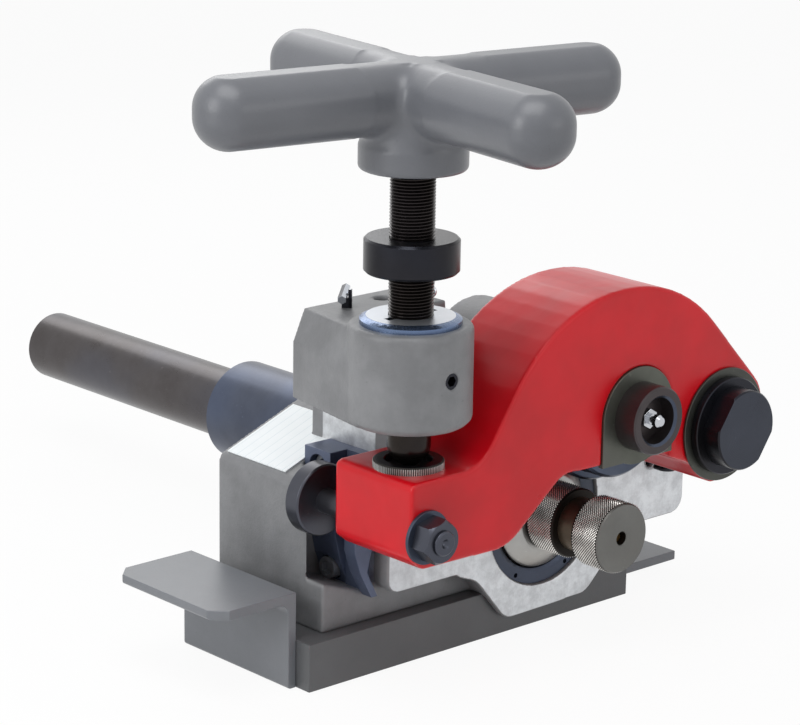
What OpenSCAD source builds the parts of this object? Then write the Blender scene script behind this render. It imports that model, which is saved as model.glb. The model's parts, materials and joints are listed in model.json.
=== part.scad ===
// Pipe roll groover for a pipe threading machine, in millimetres.
// X runs along the base bar, -Y is the side of the rolls, Z is up.
// The origin is the centre of the base bar's underside.

/* [Base] */
// Length of the base bar along X
bar_w = 290; // [270:1:310]
// Depth of the base bar along Y
bar_d = 120; // [116:1:126]
// Height of the base bar
bar_h = 32; // [28:1:36]
// Leg of the equal angle steel at each end
rail_leg = 64; // [58:1:70]
// Thickness of the angle steel
rail_t = 6.5; // [5:0.5:8]
// Length of each angle along Y
rail_len = 107; // [95:1:110]
// Cut corner of the outward flange
rail_clip = 10; // [4:1:16]

/* [Casting] */
// Left wall of the housing, from the centre
wall_left = 125; // [120:1:128]
// Right wall of the housing, from the centre
wall_right = 132; // [126:1:138]
// Height of the left wall's top edge
wall_h = 127; // [118:1:132]
// Slope of the roof in degrees
roof_slope = 21; // [16:1:24]
// Front plane of the housing
housing_front = -49; // [-52:0.5:-46]
// Rear plane of the housing
housing_back = 56; // [52:1:60]
// Thickness of the upright slab that carries the arm
slab_t = 46; // [42:1:50]
// Machined front plane of the slab
slab_front = -66; // [-68:0.5:-65]
// Right edge of the slab
slab_right = 193; // [190:1:200]
// Underside of the slab's ears
slab_low = 53; // [48:1:56]
// Radius of the drive shaft boss
drive_boss_r = 71; // [69:1:73]
// Radius of the rounded head behind the groove roll
head_r = 42; // [36:1:46]
// Top of the rounded head
head_top = 225; // [215:1:228]
// Radius of the pivot boss
pivot_boss_r = 46; // [43:1:47]

/* [Yoke] */
// Place of the feed screw along X
feed_x = -107; // [-109:0.5:-105]
// Place of the feed screw along Y
feed_y = -108; // [-110:0.5:-106]
// Radius of the yoke's round boss
yoke_r = 38.8; // [36:0.2:40]
// Underside of the yoke
yoke_low = 183.5; // [183:0.5:188]
// Top of the yoke's round boss
yoke_top = 246; // [242:1:248]
// Drop from the boss to the neck
neck_drop = 5; // [2:1:8]
// Left face of the neck
neck_left = -130; // [-134:1:-124]
// Rear face of the neck
neck_back = -24; // [-28:1:-20]
// Machined pad that seats the guide block
pad_x = -84; // [-86:0.5:-82]

/* [Swing arm] */
// Place of the pivot along X
pivot_x = 146; // [144:0.5:148]
// Height of the pivot
pivot_z = 142; // [140:0.5:144]
// Front face of the arm
arm_front = -140; // [-144:0.5:-138]
// Rear face of the arm
arm_back = -69; // [-70:0.5:-69]
// Left end of the arm
arm_tip = -133; // [-138:1:-130]
// Top of the flat tip
tip_top = 155; // [153:0.5:157]
// Underside of the tip
tip_low = 98; // [94:1:102]
// Top of the hump over the groove roll
hump_top = 249; // [243:1:253]
// Radius of the hump
hump_r = 114; // [100:1:116]
// Radius of the pivot end
arm_end_r = 39.5; // [37:0.5:41]
// Radius of the pivot bolt's shank
pivot_r = 16; // [14:0.5:18]
// Across the flats of the pivot bolt's head
pivot_flats = 48; // [44:1:52]

/* [Rolls] */
// Place of the drive shaft along X
drive_x = 56; // [54:0.5:58]
// Height of the drive shaft
drive_z = 80; // [79:0.5:82]
// Radius of the drive roll over its knurl
drive_r = 23.2; // [22:0.2:24]
// Width of one knurled band
band_w = 24; // [20:0.5:25]
// Width of the groove between the bands
gap_w = 17; // [16:0.5:18]
// Radius at the bottom of the groove
gap_r = 18; // [16:0.5:19]
// Place of the groove roll along X
roll_x = 64; // [62:0.5:66]
// Height of the groove roll
roll_z = 163; // [162:0.5:165]
// Radius of the grooving rib
rib_r = 50.5; // [47:0.5:51]
// Width of the grooving rib
rib_w = 11; // [8:0.5:12]
// Radius of the groove roll beside the rib
flank_r = 45; // [41:0.5:46]
// Width of the groove roll
roll_w = 44; // [38:1:46]
// Radius of the groove roll's shaft
roll_shaft_r = 15; // [13:0.5:16]

/* [Drive shaft] */
// Radius of the long shaft
shaft_r = 26; // [24:0.5:27]
// Rear end of the long shaft
shaft_back = 496; // [440:1:520]
// Radius of the sleeve on the shaft
sleeve_r = 37; // [34:0.5:40]
// Rear end of the sleeve
sleeve_back = 253; // [220:1:270]
// Outer radius of the bearings
bearing_r = 45; // [44:0.25:46]
// Width of a bearing
bearing_w = 22; // [18:1:24]
// Radius of a bearing ball
ball_r = 4; // [3.5:0.25:4.25]

/* [Feed screw] */
// Radius over the thread
screw_r = 14; // [13:0.25:15]
// Radius of the plain lower end
screw_end_r = 12; // [11:0.25:12.5]
// Outer radius of the depth collar
collar_r = 29.5; // [27:0.5:32]
// Underside of the depth collar
collar_low = 278; // [276:1:284]
// Height of the depth collar
collar_h = 21.5; // [18:0.5:26]
// Outer radius of the feed nut's flange
nut_r = 31.5; // [29:0.5:33]
// Thickness of the feed nut's flange
nut_t = 5; // [4:0.5:6]

/* [Cross handle] */
// Underside of the hub
hub_low = 341; // [336:1:346]
// Radius of the hub
hub_r = 33.5; // [31:0.5:36]
// Height of the arms' centre line
cross_z = 386; // [380:1:392]
// Reach of an arm to its round end's centre
cross_reach = 137; // [120:1:150]
// Half height of an arm
cross_rz = 25; // [22:0.5:27]
// Half width of an arm
cross_ry = 22; // [18:0.5:24]
// Turn of the cross about the screw, in degrees
cross_turn = -7; // [-45:1:45]

/* [Guide] */
// Place of the guide stud along X
stud_x = -121; // [-122:0.5:-120]
// Height of the guide stud
stud_z = 120; // [119:0.5:121]
// Radius of the stud
stud_r = 8; // [7:0.5:8.5]
// Radius of the stud's disc
disc_r = 23.5; // [22:0.5:24]
// Thickness of the disc
disc_t = 12.5; // [11:0.5:13]
// Front face of the disc
disc_front = -46.5; // [-47:0.5:-46]

/* [Hidden] */
$fn = 48;
over = 1;
slip = 0.04;
near = 0.3;
arc_steps = 9;

// Shapes that repeat

function unit(v) = v / norm(v);
function short_turn(a) = a > 180 ? a - 360 : a < -180 ? a + 360 : a;
function xy(p) = [p[0], p[1]];
// The arc of radius b[2] that rounds corner b between a and c
function corner(a, b, c) =
  b[2] == 0 ? [xy(b)] :
  let (u = unit(xy(a) - xy(b)), v = unit(xy(c) - xy(b)), half = acos(u * v) / 2)
  let (mid = xy(b) + unit(u + v) * b[2] / sin(half), reach = b[2] / tan(half))
  let (s = xy(b) + u * reach - mid, e = xy(b) + v * reach - mid)
  let (first = atan2(s[1], s[0]), sweep = short_turn(atan2(e[1], e[0]) - first))
  [for (i = [0:arc_steps]) mid + b[2] * [cos(first + sweep * i / arc_steps),
                                        sin(first + sweep * i / arc_steps)]];
// An outline whose points are [x, y, corner radius]
module outline(pts) {
  n = len(pts);
  polygon([for (i = [0:n - 1]) each corner(pts[(i + n - 1) % n], pts[i], pts[(i + 1) % n])]);
}
// An X-Z outline given depth between two planes across Y
module depth_y(front, back) {
  translate([0, back, 0]) rotate([90, 0, 0]) linear_extrude(back - front) children();
}
module rod_y(x, z, r, front, back) {
  translate([x, back, z]) rotate([90, 0, 0]) cylinder(h = back - front, r = r);
}
module rod_z(x, y, r, low, high) {
  translate([x, y, low]) cylinder(h = high - low, r = r);
}
// A turned piece on an axis along Y: points are [radius, distance behind front]
module turned_y(x, z, front, pts) {
  translate([x, front, z]) rotate([-90, 0, 0]) rotate_extrude() polygon(pts);
}
// A hexagon bar along Z by its size across the flats
module hex_z(flats, h) {
  cylinder(h = h, r = flats / sqrt(3), $fn = 6);
}
// A socket head cap screw standing on z = 0 with its shank below
module socket_screw(r, shank) {
  head_r_share = 1.5;
  head_h_share = 2;
  key_share = 1;
  difference() {
    union() {
      cylinder(h = r * head_h_share, r = r * head_r_share);
      translate([0, 0, -shank]) cylinder(h = shank + over, r = r);
    }
    translate([0, 0, r * key_share]) hex_z(r * sqrt(3), r * head_h_share);
  }
}
// A socket set screw along Z with its key hole at the top
module set_screw(r, h) {
  key_share = 0.6;
  difference() {
    cylinder(h = h, r = r);
    translate([0, 0, h - r]) hex_z(2 * r * key_share, r + over);
  }
}

// Places worked out from the sizes above

slab_back = slab_front + slab_t;
rib_y = arm_front + (arm_back - arm_front) / 2 - 2.5 * slip;
roll_front = rib_y - roll_w / 2;
roll_back = rib_y + roll_w / 2;
drive_front = rib_y - gap_w / 2 - band_w;
drive_back = rib_y + gap_w / 2 + band_w;
head_x = (drive_x + feed_x) / 2 + 54;
neck_top = yoke_top - neck_drop;
neck_right = pad_x + slab_t;
disc_back = disc_front + disc_t;
slot_gap = 0.75;
block_w = 22;
block_left = pad_x - block_w;
block_back = slab_front + 58;
block_front = slab_front + 8;
block_low = 53;
block_top = 145;
ledge_z = block_low;
retainer_t = 7;
retainer_r = 50;
retainer_flange_t = 3.2;
retainer_set = 2.5;
retainer_front = slab_front + retainer_set;
front_bearing_y = retainer_front + retainer_t;
rear_seal_t = 8;
rear_boss_l = 14;
rear_boss_r = 57;
rear_face = housing_back + rear_boss_l;
rear_bearing_y = rear_face - rear_seal_t - bearing_w;
journal_r = 32;
race_t = 5;
shoulder_r = 38.5;

// Base

module base_bar() {
  color("#4d4f52") difference() {
    translate([-bar_w / 2, -bar_d / 2, 0]) cube([bar_w, bar_d, bar_h]);
    each_base_screw() {
      translate([0, 0, -over]) cylinder(h = base_sink + over, r = base_sink_r);
      cylinder(h = bar_h + over, r = base_screw_r + slip);
    }
  }
}
base_screw_r = 6;
base_sink_r = 9.5;
base_sink = 14;
base_bite = 16;
base_in_x = 40;
base_in_y = 26;
module each_base_screw() {
  for (sx = [-1, 1], sy = [-1, 1])
    translate([sx * (bar_w / 2 - base_in_x), sy * (bar_d / 2 - base_in_y), 0]) children();
}
module base_screws() {
  color("#26282b") each_base_screw()
    translate([0, 0, base_sink]) mirror([0, 0, 1])
      socket_screw(base_screw_r, bar_h - base_sink + base_bite);
}
rail_root_r = 7;
rail_toe_r = 2.5;
// The angle's own section, leg down at x = 0 and flange outward
module rail_section() {
  outline([[0, 0, 0], [rail_t, 0, rail_toe_r], [rail_t, rail_leg - rail_t, rail_root_r],
           [rail_leg, rail_leg - rail_t, rail_toe_r], [rail_leg, rail_leg, 0], [0, rail_leg, 0]]);
}
module rail_angle() {
  difference() {
    depth_y(bar_d / 2 - rail_len, bar_d / 2) rail_section();
    for (end = [0, 1])
      translate([rail_leg, bar_d / 2 - end * rail_len, rail_leg / 2])
        rotate([0, 0, 45])
          cube([rail_clip * sqrt(2), rail_clip * sqrt(2), rail_leg + over], center = true);
  }
}
module left_rail_angle() {
  color("#6a6e73") translate([-bar_w / 2, 0, 0]) mirror([1, 0, 0]) rail_angle();
}
module right_rail_angle() {
  color("#6a6e73") translate([bar_w / 2, 0, 0]) rail_angle();
}

// Frame casting

wall_r = 9;
roof_left = 14;
roof_rise = tan(roof_slope);
roof_half = wall_left - 57;
housing_top = wall_h + roof_half * roof_rise;
module housing_outline() {
  outline([[-wall_left, bar_h, 0], [-wall_left, wall_h, 7],
           [-wall_left + roof_half, housing_top, 25],
           [wall_right - roof_half, housing_top, 25],
           [wall_right, wall_h - roof_left, wall_r], [wall_right, bar_h, 0]]);
}
module slab_outline() {
  difference() {
    union() {
      outline([[pad_x, ear_low, 9], [slab_right, ear_low, 11],
               [slab_right, pivot_z + 24, 40], [pivot_x, pivot_z + pivot_boss_r, 34],
               [head_x + head_r, pivot_z + pivot_boss_r + 6, 22],
               [head_x, head_top - 4, 30], [neck_right + 4, head_top - 46, 14],
               [neck_right, neck_top, 6], [pad_x, neck_top, 0]]);
      translate([head_x, head_top - head_r]) circle(head_r);
      translate([pivot_x, pivot_z]) circle(pivot_boss_r);
    }
  }
}
ear_low = slab_low;
boss_flat = 11.5;
// The boss below the ears, cut flat underneath and flared into them
module boss_outline() {
  outline([[drive_x - 84, slab_low + 30, 0], [drive_x - 84, slab_low, 14],
           [drive_x - 62, slab_low - 8, 20], [drive_x - 34, boss_flat, 16],
           [drive_x + 42, boss_flat + 2, 16], [drive_x + 84, slab_low, 20],
           [drive_x + 84, slab_low + 30, 0]]);
}
module neck_solid() {
  chamfer_x = 9;
  chamfer_z = 20;
  intersection() {
    translate([0, 0, yoke_low]) linear_extrude(neck_top - yoke_low)
      outline([[neck_left, neck_back, 3], [neck_right, neck_back, 6],
               [neck_right, slab_front, 0], [pad_x, slab_front, 12],
               [feed_x + yoke_r / 2, feed_y, 0], [feed_x - yoke_r / 2, feed_y, 0],
               [neck_left, feed_y + yoke_r * 0.75, 20]]);
    depth_y(feed_y - yoke_r, neck_back)
      outline([[neck_left, yoke_low, 4], [neck_right + over, yoke_low, 0],
               [neck_right + over, neck_top, 0], [neck_left + chamfer_x, neck_top, 6],
               [neck_left, neck_top - chamfer_z, 8]]);
  }
}
tower_back = 11;
tower_top = 214;
tower_w = 46;
module tower_outline() {
  outline([[pad_x, bar_h, 0], [pad_x, tower_top, 8], [pad_x + tower_w, tower_top, 12],
           [pad_x + tower_w, housing_top + 16, 14], [pad_x + 2 * tower_w, housing_top - 4, 8],
           [pad_x + 2 * tower_w, bar_h, 0]]);
}
boss_rim_chamfer = 2;
boss_foot_round = 4;
module yoke_boss() {
  h = yoke_top - yoke_low;
  translate([feed_x, feed_y, yoke_low]) rotate_extrude()
    polygon([[0, 0], [yoke_r - boss_foot_round, 0], [yoke_r, boss_foot_round],
             [yoke_r, h - boss_rim_chamfer], [yoke_r - boss_rim_chamfer, h], [0, h]]);
}
nut_body_r = 21;
set_r = 5;
set_below = 1.5;
nut_screw_z = (yoke_low + yoke_top) / 2 + 2;
oil_r = 5.5;
oil_x = -66;
oil_y = -36;
module frame_casting() {
  color("#7d8186") difference() {
    union() {
      difference() {
        depth_y(housing_front, housing_back) housing_outline();
        corner_pocket();
      }
      depth_y(slab_front, slab_back) slab_outline();
      depth_y(slab_front, housing_front + over) boss_outline();
      depth_y(slab_back - over, tower_back) tower_outline();
      neck_solid();
      yoke_boss();
      rod_y(drive_x, drive_z, rear_boss_r, housing_back - over, rear_face);
    }
    // Bores for the drive shaft and its bearings
    rod_y(drive_x, drive_z, retainer_r, slab_front - over, retainer_front + retainer_flange_t);
    rod_y(drive_x, drive_z, bearing_r, slab_front, front_bearing_y + bearing_w);
    rod_y(drive_x, drive_z, bearing_r, rear_bearing_y, rear_face + over);
    rod_y(drive_x, drive_z, journal_r + 8, slab_front, rear_face);
    // Base bar clearance under the boss and ears
    translate([-bar_w / 2 - over, -bar_d / 2, -over]) cube([bar_w + 2 * over, bar_d, bar_h + over]);
    // Room for the right angle behind the ear
    translate([bar_w / 2 - near, bar_d / 2 - rail_len - near, -over])
      cube([rail_leg + 2 * near, rail_len, rail_leg + over + near]);
    // Feed nut bore, its set screw and the oil hole
    rod_z(feed_x, feed_y, nut_body_r, yoke_low - over, yoke_top + over);
    rod_y(feed_x, nut_screw_z, set_r, feed_y - yoke_r - over, feed_y);
    rod_z(oil_x, oil_y, oil_r, neck_top - 30, neck_top + over);
    // Pivot bolt
    rod_y(pivot_x, pivot_z, pivot_thread_r, slab_front - over, slab_front + pivot_bite + over);
    // Spring anchor
    rod_y(hook_x, hook_z, hook_hole_r, slab_front - over, slab_front + hook_bite + 2);
    // Guide block screws
    each_guide_screw() rotate([0, 90, 0]) cylinder(h = guide_bite + over, r = guide_screw_r);
    // Eye pin and gauge hook seats
    rod_z(eye_x, eye_y, eye_r, neck_top - eye_bite, neck_top + over);
    rod_z(gauge_x, gauge_y, gauge_r, neck_top - eye_bite, neck_top + over);
    each_base_screw() cylinder(h = bar_h + base_bite + over, r = base_screw_r + slip);
  }
}
// The open corner that the guide disc and block stand in
module corner_pocket() {
  wedge_y = disc_back + near * 3;
  translate([0, 0, ledge_z]) linear_extrude(housing_top)
    polygon([[-wall_left - over, housing_front - over], [pad_x, housing_front - over],
             [pad_x, block_back], [block_left - near, block_back],
             [-wall_left, wedge_y], [-wall_left - over, wedge_y]]);
}
label_t = 0.6;
label_share = 0.94;
module label_plate() {
  plate_w = wall_left + pad_x;
  plate_d = housing_back - block_back;
  color("#eef0f0") translate([-wall_left, 0, wall_h]) rotate([0, -roof_slope, 0])
    translate([plate_w * (1 - label_share) + 2, block_back + 1, 0])
      cube([plate_w / cos(roof_slope) * label_share - 5, plate_d * label_share - 11, label_t]);
}

// Guide block on the casting's machined pad

guide_screw_r = 4;
guide_bite = 14;
guide_screws_z = [84, 133];
screw_y = (block_back + disc_back) / 2;
slant_z = 112;
foot_w = 8;
module each_guide_screw() {
  for (z = guide_screws_z) translate([pad_x, screw_y, z]) children();
}
module guide_block() {
  color("#23272e") difference() {
    depth_y(block_front, block_back)
      outline([[pad_x, block_low, 0], [pad_x, block_top, 1], [block_left, block_top, 1],
               [block_left, slant_z, 10], [pad_x - foot_w, block_low, 0]]);
    translate([block_left - over, disc_front - slot_gap, block_low - over])
      cube([block_w - foot_w + over, disc_t + 2 * slot_gap, block_top]);
    each_guide_screw() rotate([0, -90, 0]) {
      translate([0, 0, -over]) cylinder(h = block_w + 2 * over, r = guide_screw_r + slip);
      translate([0, 0, screw_seat]) cylinder(h = block_w, r = guide_screw_r * 1.5 + 0.5);
    }
  }
}
screw_seat = 10;
module guide_block_screws() {
  color("#8b8d90") each_guide_screw() rotate([0, -90, 0]) translate([0, 0, screw_seat])
    socket_screw(guide_screw_r, screw_seat + guide_bite);
}

// Yoke fittings

module feed_nut() {
  slot_w = 5;
  color("#3c4654") difference() {
    translate([feed_x, feed_y, yoke_low]) rotate_extrude()
      polygon([[screw_r + slip, 0], [nut_body_r - slip, 0], [nut_body_r - slip, yoke_top - yoke_low],
               [nut_r, yoke_top - yoke_low], [nut_r, yoke_top - yoke_low + nut_t - 2],
               [nut_r - 4, yoke_top - yoke_low + nut_t], [screw_r + slip, yoke_top - yoke_low + nut_t]]);
    translate([feed_x, feed_y, yoke_top + nut_t / 2 + over])
      cube([2 * (screw_r + 6), slot_w, nut_t], center = true);
    rod_y(feed_x, nut_screw_z, set_r - 1, feed_y - nut_body_r - over, feed_y - nut_body_r + 2);
  }
}
module nut_set_screw() {
  color("#303338") translate([feed_x, feed_y - nut_body_r, nut_screw_z]) rotate([90, 0, 0])
    set_screw(set_r, yoke_r - nut_body_r - set_below);
}
gauge_x = -96;
gauge_y = -33;
gauge_r = 3;
eye_x = -47;
eye_y = -60;
eye_r = 2;
eye_bite = 8;
peg_r = 4.2;
peg_l = 15;
post_h = 9;
module gauge_hook() {
  color("#3a3c3f") translate([gauge_x, gauge_y, neck_top]) {
    rod_z(0, 0, gauge_r, -eye_bite, 1);
    difference() {
      translate([-gauge_r, -2.5, 0]) cube([2 * gauge_r + 3, 5, post_h + 7]);
      translate([-gauge_r, 0, post_h - 4]) rotate([0, -38, 0])
        translate([-10, -over - 2.5, 0]) cube([30, 5 + 2 * over, 20]);
    }
    translate([-3, 0, post_h - 1]) rotate([-55, 0, 20]) cylinder(h = peg_l, r = peg_r, center = true);
  }
}
ring_r = 8;
wire_r = 1.1;
module eye_pin() {
  color("#b9bcc0") translate([eye_x, eye_y, neck_top]) {
    rod_z(0, 0, eye_r, -eye_bite, 4);
    translate([0, 0, 6]) rotate([0, 90, 30])
      rotate_extrude() translate([3.2, 0]) circle(1.3, $fn = 16);
  }
}
module wire_ring() {
  color("#c9cbce") translate([eye_x, eye_y, neck_top + 6 + ring_r]) rotate([90, 0, 30])
    rotate_extrude() translate([ring_r, 0]) circle(wire_r, $fn = 16);
}

// Pivot

pivot_thread_r = 12;
pivot_bite = 30;
washer_r = 38;
washer_t = 4;
pivot_head_h = 14.5;
pivot_collar_t = 3.5;
pivot_collar_r = 31;
arm_run = 0.3;
module pivot_bolt() {
  front = arm_front - near - washer_t;
  color("#1d1f22") difference() {
    union() {
      translate([pivot_x, front - pivot_collar_t, pivot_z]) rotate([90, 0, 0])
        intersection() {
          rotate([0, 0, 12]) hex_z(pivot_flats, pivot_head_h);
          translate([0, 0, -over]) cylinder(h = pivot_head_h + over, r1 = pivot_flats, r2 = pivot_flats / 2);
        }
      rod_y(pivot_x, pivot_z, pivot_collar_r, front - pivot_collar_t, front);
      rod_y(pivot_x, pivot_z, pivot_r, front - over, slab_front);
      rod_y(pivot_x, pivot_z, pivot_thread_r, slab_front - over, slab_front + pivot_bite);
    }
  }
}
module pivot_washer() {
  color("#3f413f") translate([pivot_x, arm_front - near, pivot_z]) rotate([90, 0, 0])
    difference() {
      cylinder(h = washer_t, r = washer_r);
      translate([0, 0, -over]) cylinder(h = washer_t + 2 * over, r = pivot_r + slip);
    }
}
module pivot_spacer() {
  spacer_h = slab_front - arm_back + recess_depth - near;
  color("#8f8466") translate([pivot_x, slab_front, pivot_z]) rotate([90, 0, 0])
    difference() {
      cylinder(h = spacer_h, r = spring_in_r - 1);
      translate([0, 0, -over]) cylinder(h = spacer_h + 2 * over, r = pivot_r + slip);
    }
}
// Torsion spring in the arm's rear recess, one leg in the casting
spring_wire_r = 2.4;
spring_in_r = 22;
spring_r = 27;
spring_turns = 3;
spring_pitch = 5.4;
spring_sides = 8;
spring_steps = 20;
hook_hole_r = 3.4;
hook_bite = 12;
hook_x = pivot_x + 12;
hook_z = pivot_z - 47;
recess_r = spring_r + spring_wire_r + 2.2;
recess_depth = 22;
spring_y0 = slab_front - 2 * spring_wire_r - 1.2;
function spring_at(i) =
  let (turn = i / spring_steps, a = -76 + 360 * turn)
  [pivot_x + spring_r * cos(a), spring_y0 - spring_pitch * turn, pivot_z + spring_r * sin(a)];
hook_bend = [[hook_x, slab_front + hook_bite, hook_z],
             [hook_x, slab_front + 1, hook_z],
             [hook_x + 1, slab_front - 4.5, hook_z + 2],
             [hook_x + 1, spring_y0 + 1, hook_z + 9]];
spring_path = concat(hook_bend, [for (i = [0:spring_turns * spring_steps]) spring_at(i)]);
module tube(path, r, sides) {
  n = len(path);
  function way(i) = unit(path[min(i + 1, n - 1)] - path[max(i - 1, 0)]);
  function side_v(i) = unit(cross(way(i), [0.3, 1, 0.05]));
  rings = [for (i = [0:n - 1]) let (s = side_v(i), t = cross(way(i), s))
             each [for (k = [0:sides - 1])
                path[i] + r * (cos(360 * k / sides) * s + sin(360 * k / sides) * t)]];
  skin = [for (i = [0:n - 2], k = [0:sides - 1])
            each [[i * sides + k, i * sides + (k + 1) % sides, (i + 1) * sides + k],
                  [i * sides + (k + 1) % sides, (i + 1) * sides + (k + 1) % sides,
                   (i + 1) * sides + k]]];
  first = [for (k = [1:sides - 2]) [0, k + 1, k]];
  last = [for (k = [1:sides - 2]) (n - 1) * sides * [1, 1, 1] + [0, k, k + 1]];
  polyhedron(rings, concat(skin, first, last));
}
module return_spring() {
  color("#2a2c2f") tube(spring_path, spring_wire_r, spring_sides);
}

// Bearings

race_groove = 1.6;
module race(r_in, r_out, front, ball_c) {
  translate([drive_x, front, drive_z]) rotate([-90, 0, 0]) rotate_extrude() difference() {
    translate([r_in, 0]) square([r_out - r_in, bearing_w]);
    translate([ball_c, bearing_w / 2]) circle(ball_r + slip, $fn = 32);
  }
}
ball_c = (journal_r + bearing_r) / 2;
ball_n = 16;
inner_r = ball_c - ball_r + race_groove;
outer_r = ball_c + ball_r - race_groove;
module balls(front) {
  translate([drive_x, front + bearing_w / 2, drive_z])
    for (i = [0:ball_n - 1]) rotate([0, 360 * i / ball_n, 0]) translate([ball_c, 0, 0])
      sphere(ball_r - slip, $fn = 24);
}
module front_bearing_outer() {
  color("#9aa0a6") race(outer_r, bearing_r - slip, front_bearing_y, ball_c);
}
module front_bearing_inner() {
  color("#9aa0a6") race(journal_r, inner_r, front_bearing_y, ball_c);
}
module front_bearing_balls() {
  color("#c4c8cc") balls(front_bearing_y);
}
module rear_bearing_outer() {
  color("#9aa0a6") race(outer_r, bearing_r - slip, rear_bearing_y, ball_c);
}
module rear_bearing_inner() {
  color("#9aa0a6") race(journal_r, inner_r, rear_bearing_y, ball_c);
}
module rear_bearing_balls() {
  color("#c4c8cc") balls(rear_bearing_y);
}
retainer_pin_r = 1.6;
module bearing_retainer() {
  retainer_in = shoulder_r + 1.2;
  color("#1f2226") difference() {
    turned_y(drive_x, drive_z, retainer_front,
      [[retainer_in, 2], [retainer_in + 4, 0], [retainer_r - slip, 0],
       [retainer_r - slip, retainer_flange_t], [bearing_r - slip, retainer_flange_t],
       [bearing_r - slip, retainer_t], [retainer_in, retainer_t]]);
    for (i = [0:5]) translate([drive_x, retainer_front, drive_z]) rotate([0, 60 * i, 0])
      translate([retainer_r - 3.5, 0, 0]) rotate([90, 0, 0])
        cylinder(h = 6, r = retainer_pin_r, center = true);
  }
}
module rear_seal() {
  color("#1a1a1c") turned_y(drive_x, drive_z, rear_face - rear_seal_t,
    [[journal_r + slip, 0], [bearing_r - slip, 0], [bearing_r - slip, rear_seal_t],
     [journal_r + 6, rear_seal_t], [journal_r + slip, rear_seal_t - 3]]);
}

// Drive line

spigot_r = 11;
// The sleeve's seat on the shaft
seat_r = 28;
spigot_front = drive_front + 14;
module drive_shaft() {
  key_cut_w = 6;
  collar_front = drive_back + near;
  color("#4a4c50") difference() {
    turned_y(drive_x, drive_z, 0,
      [[0, spigot_front], [spigot_r, spigot_front], [spigot_r, collar_front],
       [drive_r + 3, collar_front], [drive_r + 5, collar_front + 1],
       [shoulder_r - 1.5, retainer_front - 1], [shoulder_r, retainer_front + 1],
       [shoulder_r, front_bearing_y], [journal_r - slip / 2, front_bearing_y],
       [journal_r - slip / 2, rear_face + 3], [seat_r, rear_face + 3],
       [seat_r, sleeve_back], [shaft_r, sleeve_back],
       [shaft_r, shaft_back - 3], [shaft_r - 3, shaft_back], [0, shaft_back]]);
    rod_y(drive_x, drive_z, draw_r, spigot_front - over, spigot_front + 40);
    translate([drive_x - key_cut_w / 2, drive_front + 24, drive_z + spigot_r - 3])
      cube([key_cut_w, 26, 6]);
  }
}
module drive_key() {
  color("#77797c") translate([drive_x - 3, drive_front + 24, drive_z + spigot_r - 3])
    cube([6, 26, 6 - slip]);
}
draw_r = 4;
module drive_roll() {
  bevel = 1;
  color("#8c8a86") difference() {
    turned_y(drive_x, drive_z, drive_front,
      [[draw_r + 0.5, 0], [drive_r - bevel, 0], [drive_r, bevel], [drive_r, band_w - bevel],
       [drive_r - bevel, band_w], [gap_r, band_w], [gap_r, band_w + gap_w],
       [drive_r - bevel, band_w + gap_w], [drive_r, band_w + gap_w + bevel],
       [drive_r, drive_back - drive_front - bevel], [drive_r - bevel, drive_back - drive_front],
       [spigot_r + slip, drive_back - drive_front], [spigot_r + slip, spigot_front - drive_front],
       [draw_r + 0.5, spigot_front - drive_front]]);
    translate([drive_x - 3 - slip, drive_front + 24 - slip, drive_z])
      cube([6 + 2 * slip, 60, spigot_r + 3 + slip]);
  }
}
module draw_bolt() {
  color("#9a8f76") union() {
    rod_y(drive_x, drive_z, draw_r - slip, drive_front + 5, spigot_front + 36);
  }
}
module shaft_sleeve() {
  color("#3b424e") difference() {
    turned_y(drive_x, drive_z, rear_face + 3.5,
      [[seat_r, 0], [sleeve_r - 2, 0], [sleeve_r, 2], [sleeve_r, sleeve_back - rear_face - 5.5],
       [sleeve_r - 2, sleeve_back - rear_face - 3.5], [seat_r, sleeve_back - rear_face - 3.5]]);
    translate([drive_x, sleeve_screw_y, drive_z]) rotate([0, -40, 0])
      cylinder(h = sleeve_r + over, r = set_r);
  }
}
sleeve_screw_y = 150;
module sleeve_set_screw() {
  color("#222427") translate([drive_x, sleeve_screw_y, drive_z]) rotate([0, -40, 0])
    translate([0, 0, seat_r]) set_screw(set_r, sleeve_r - seat_r - set_below);
}

// Swing arm

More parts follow.
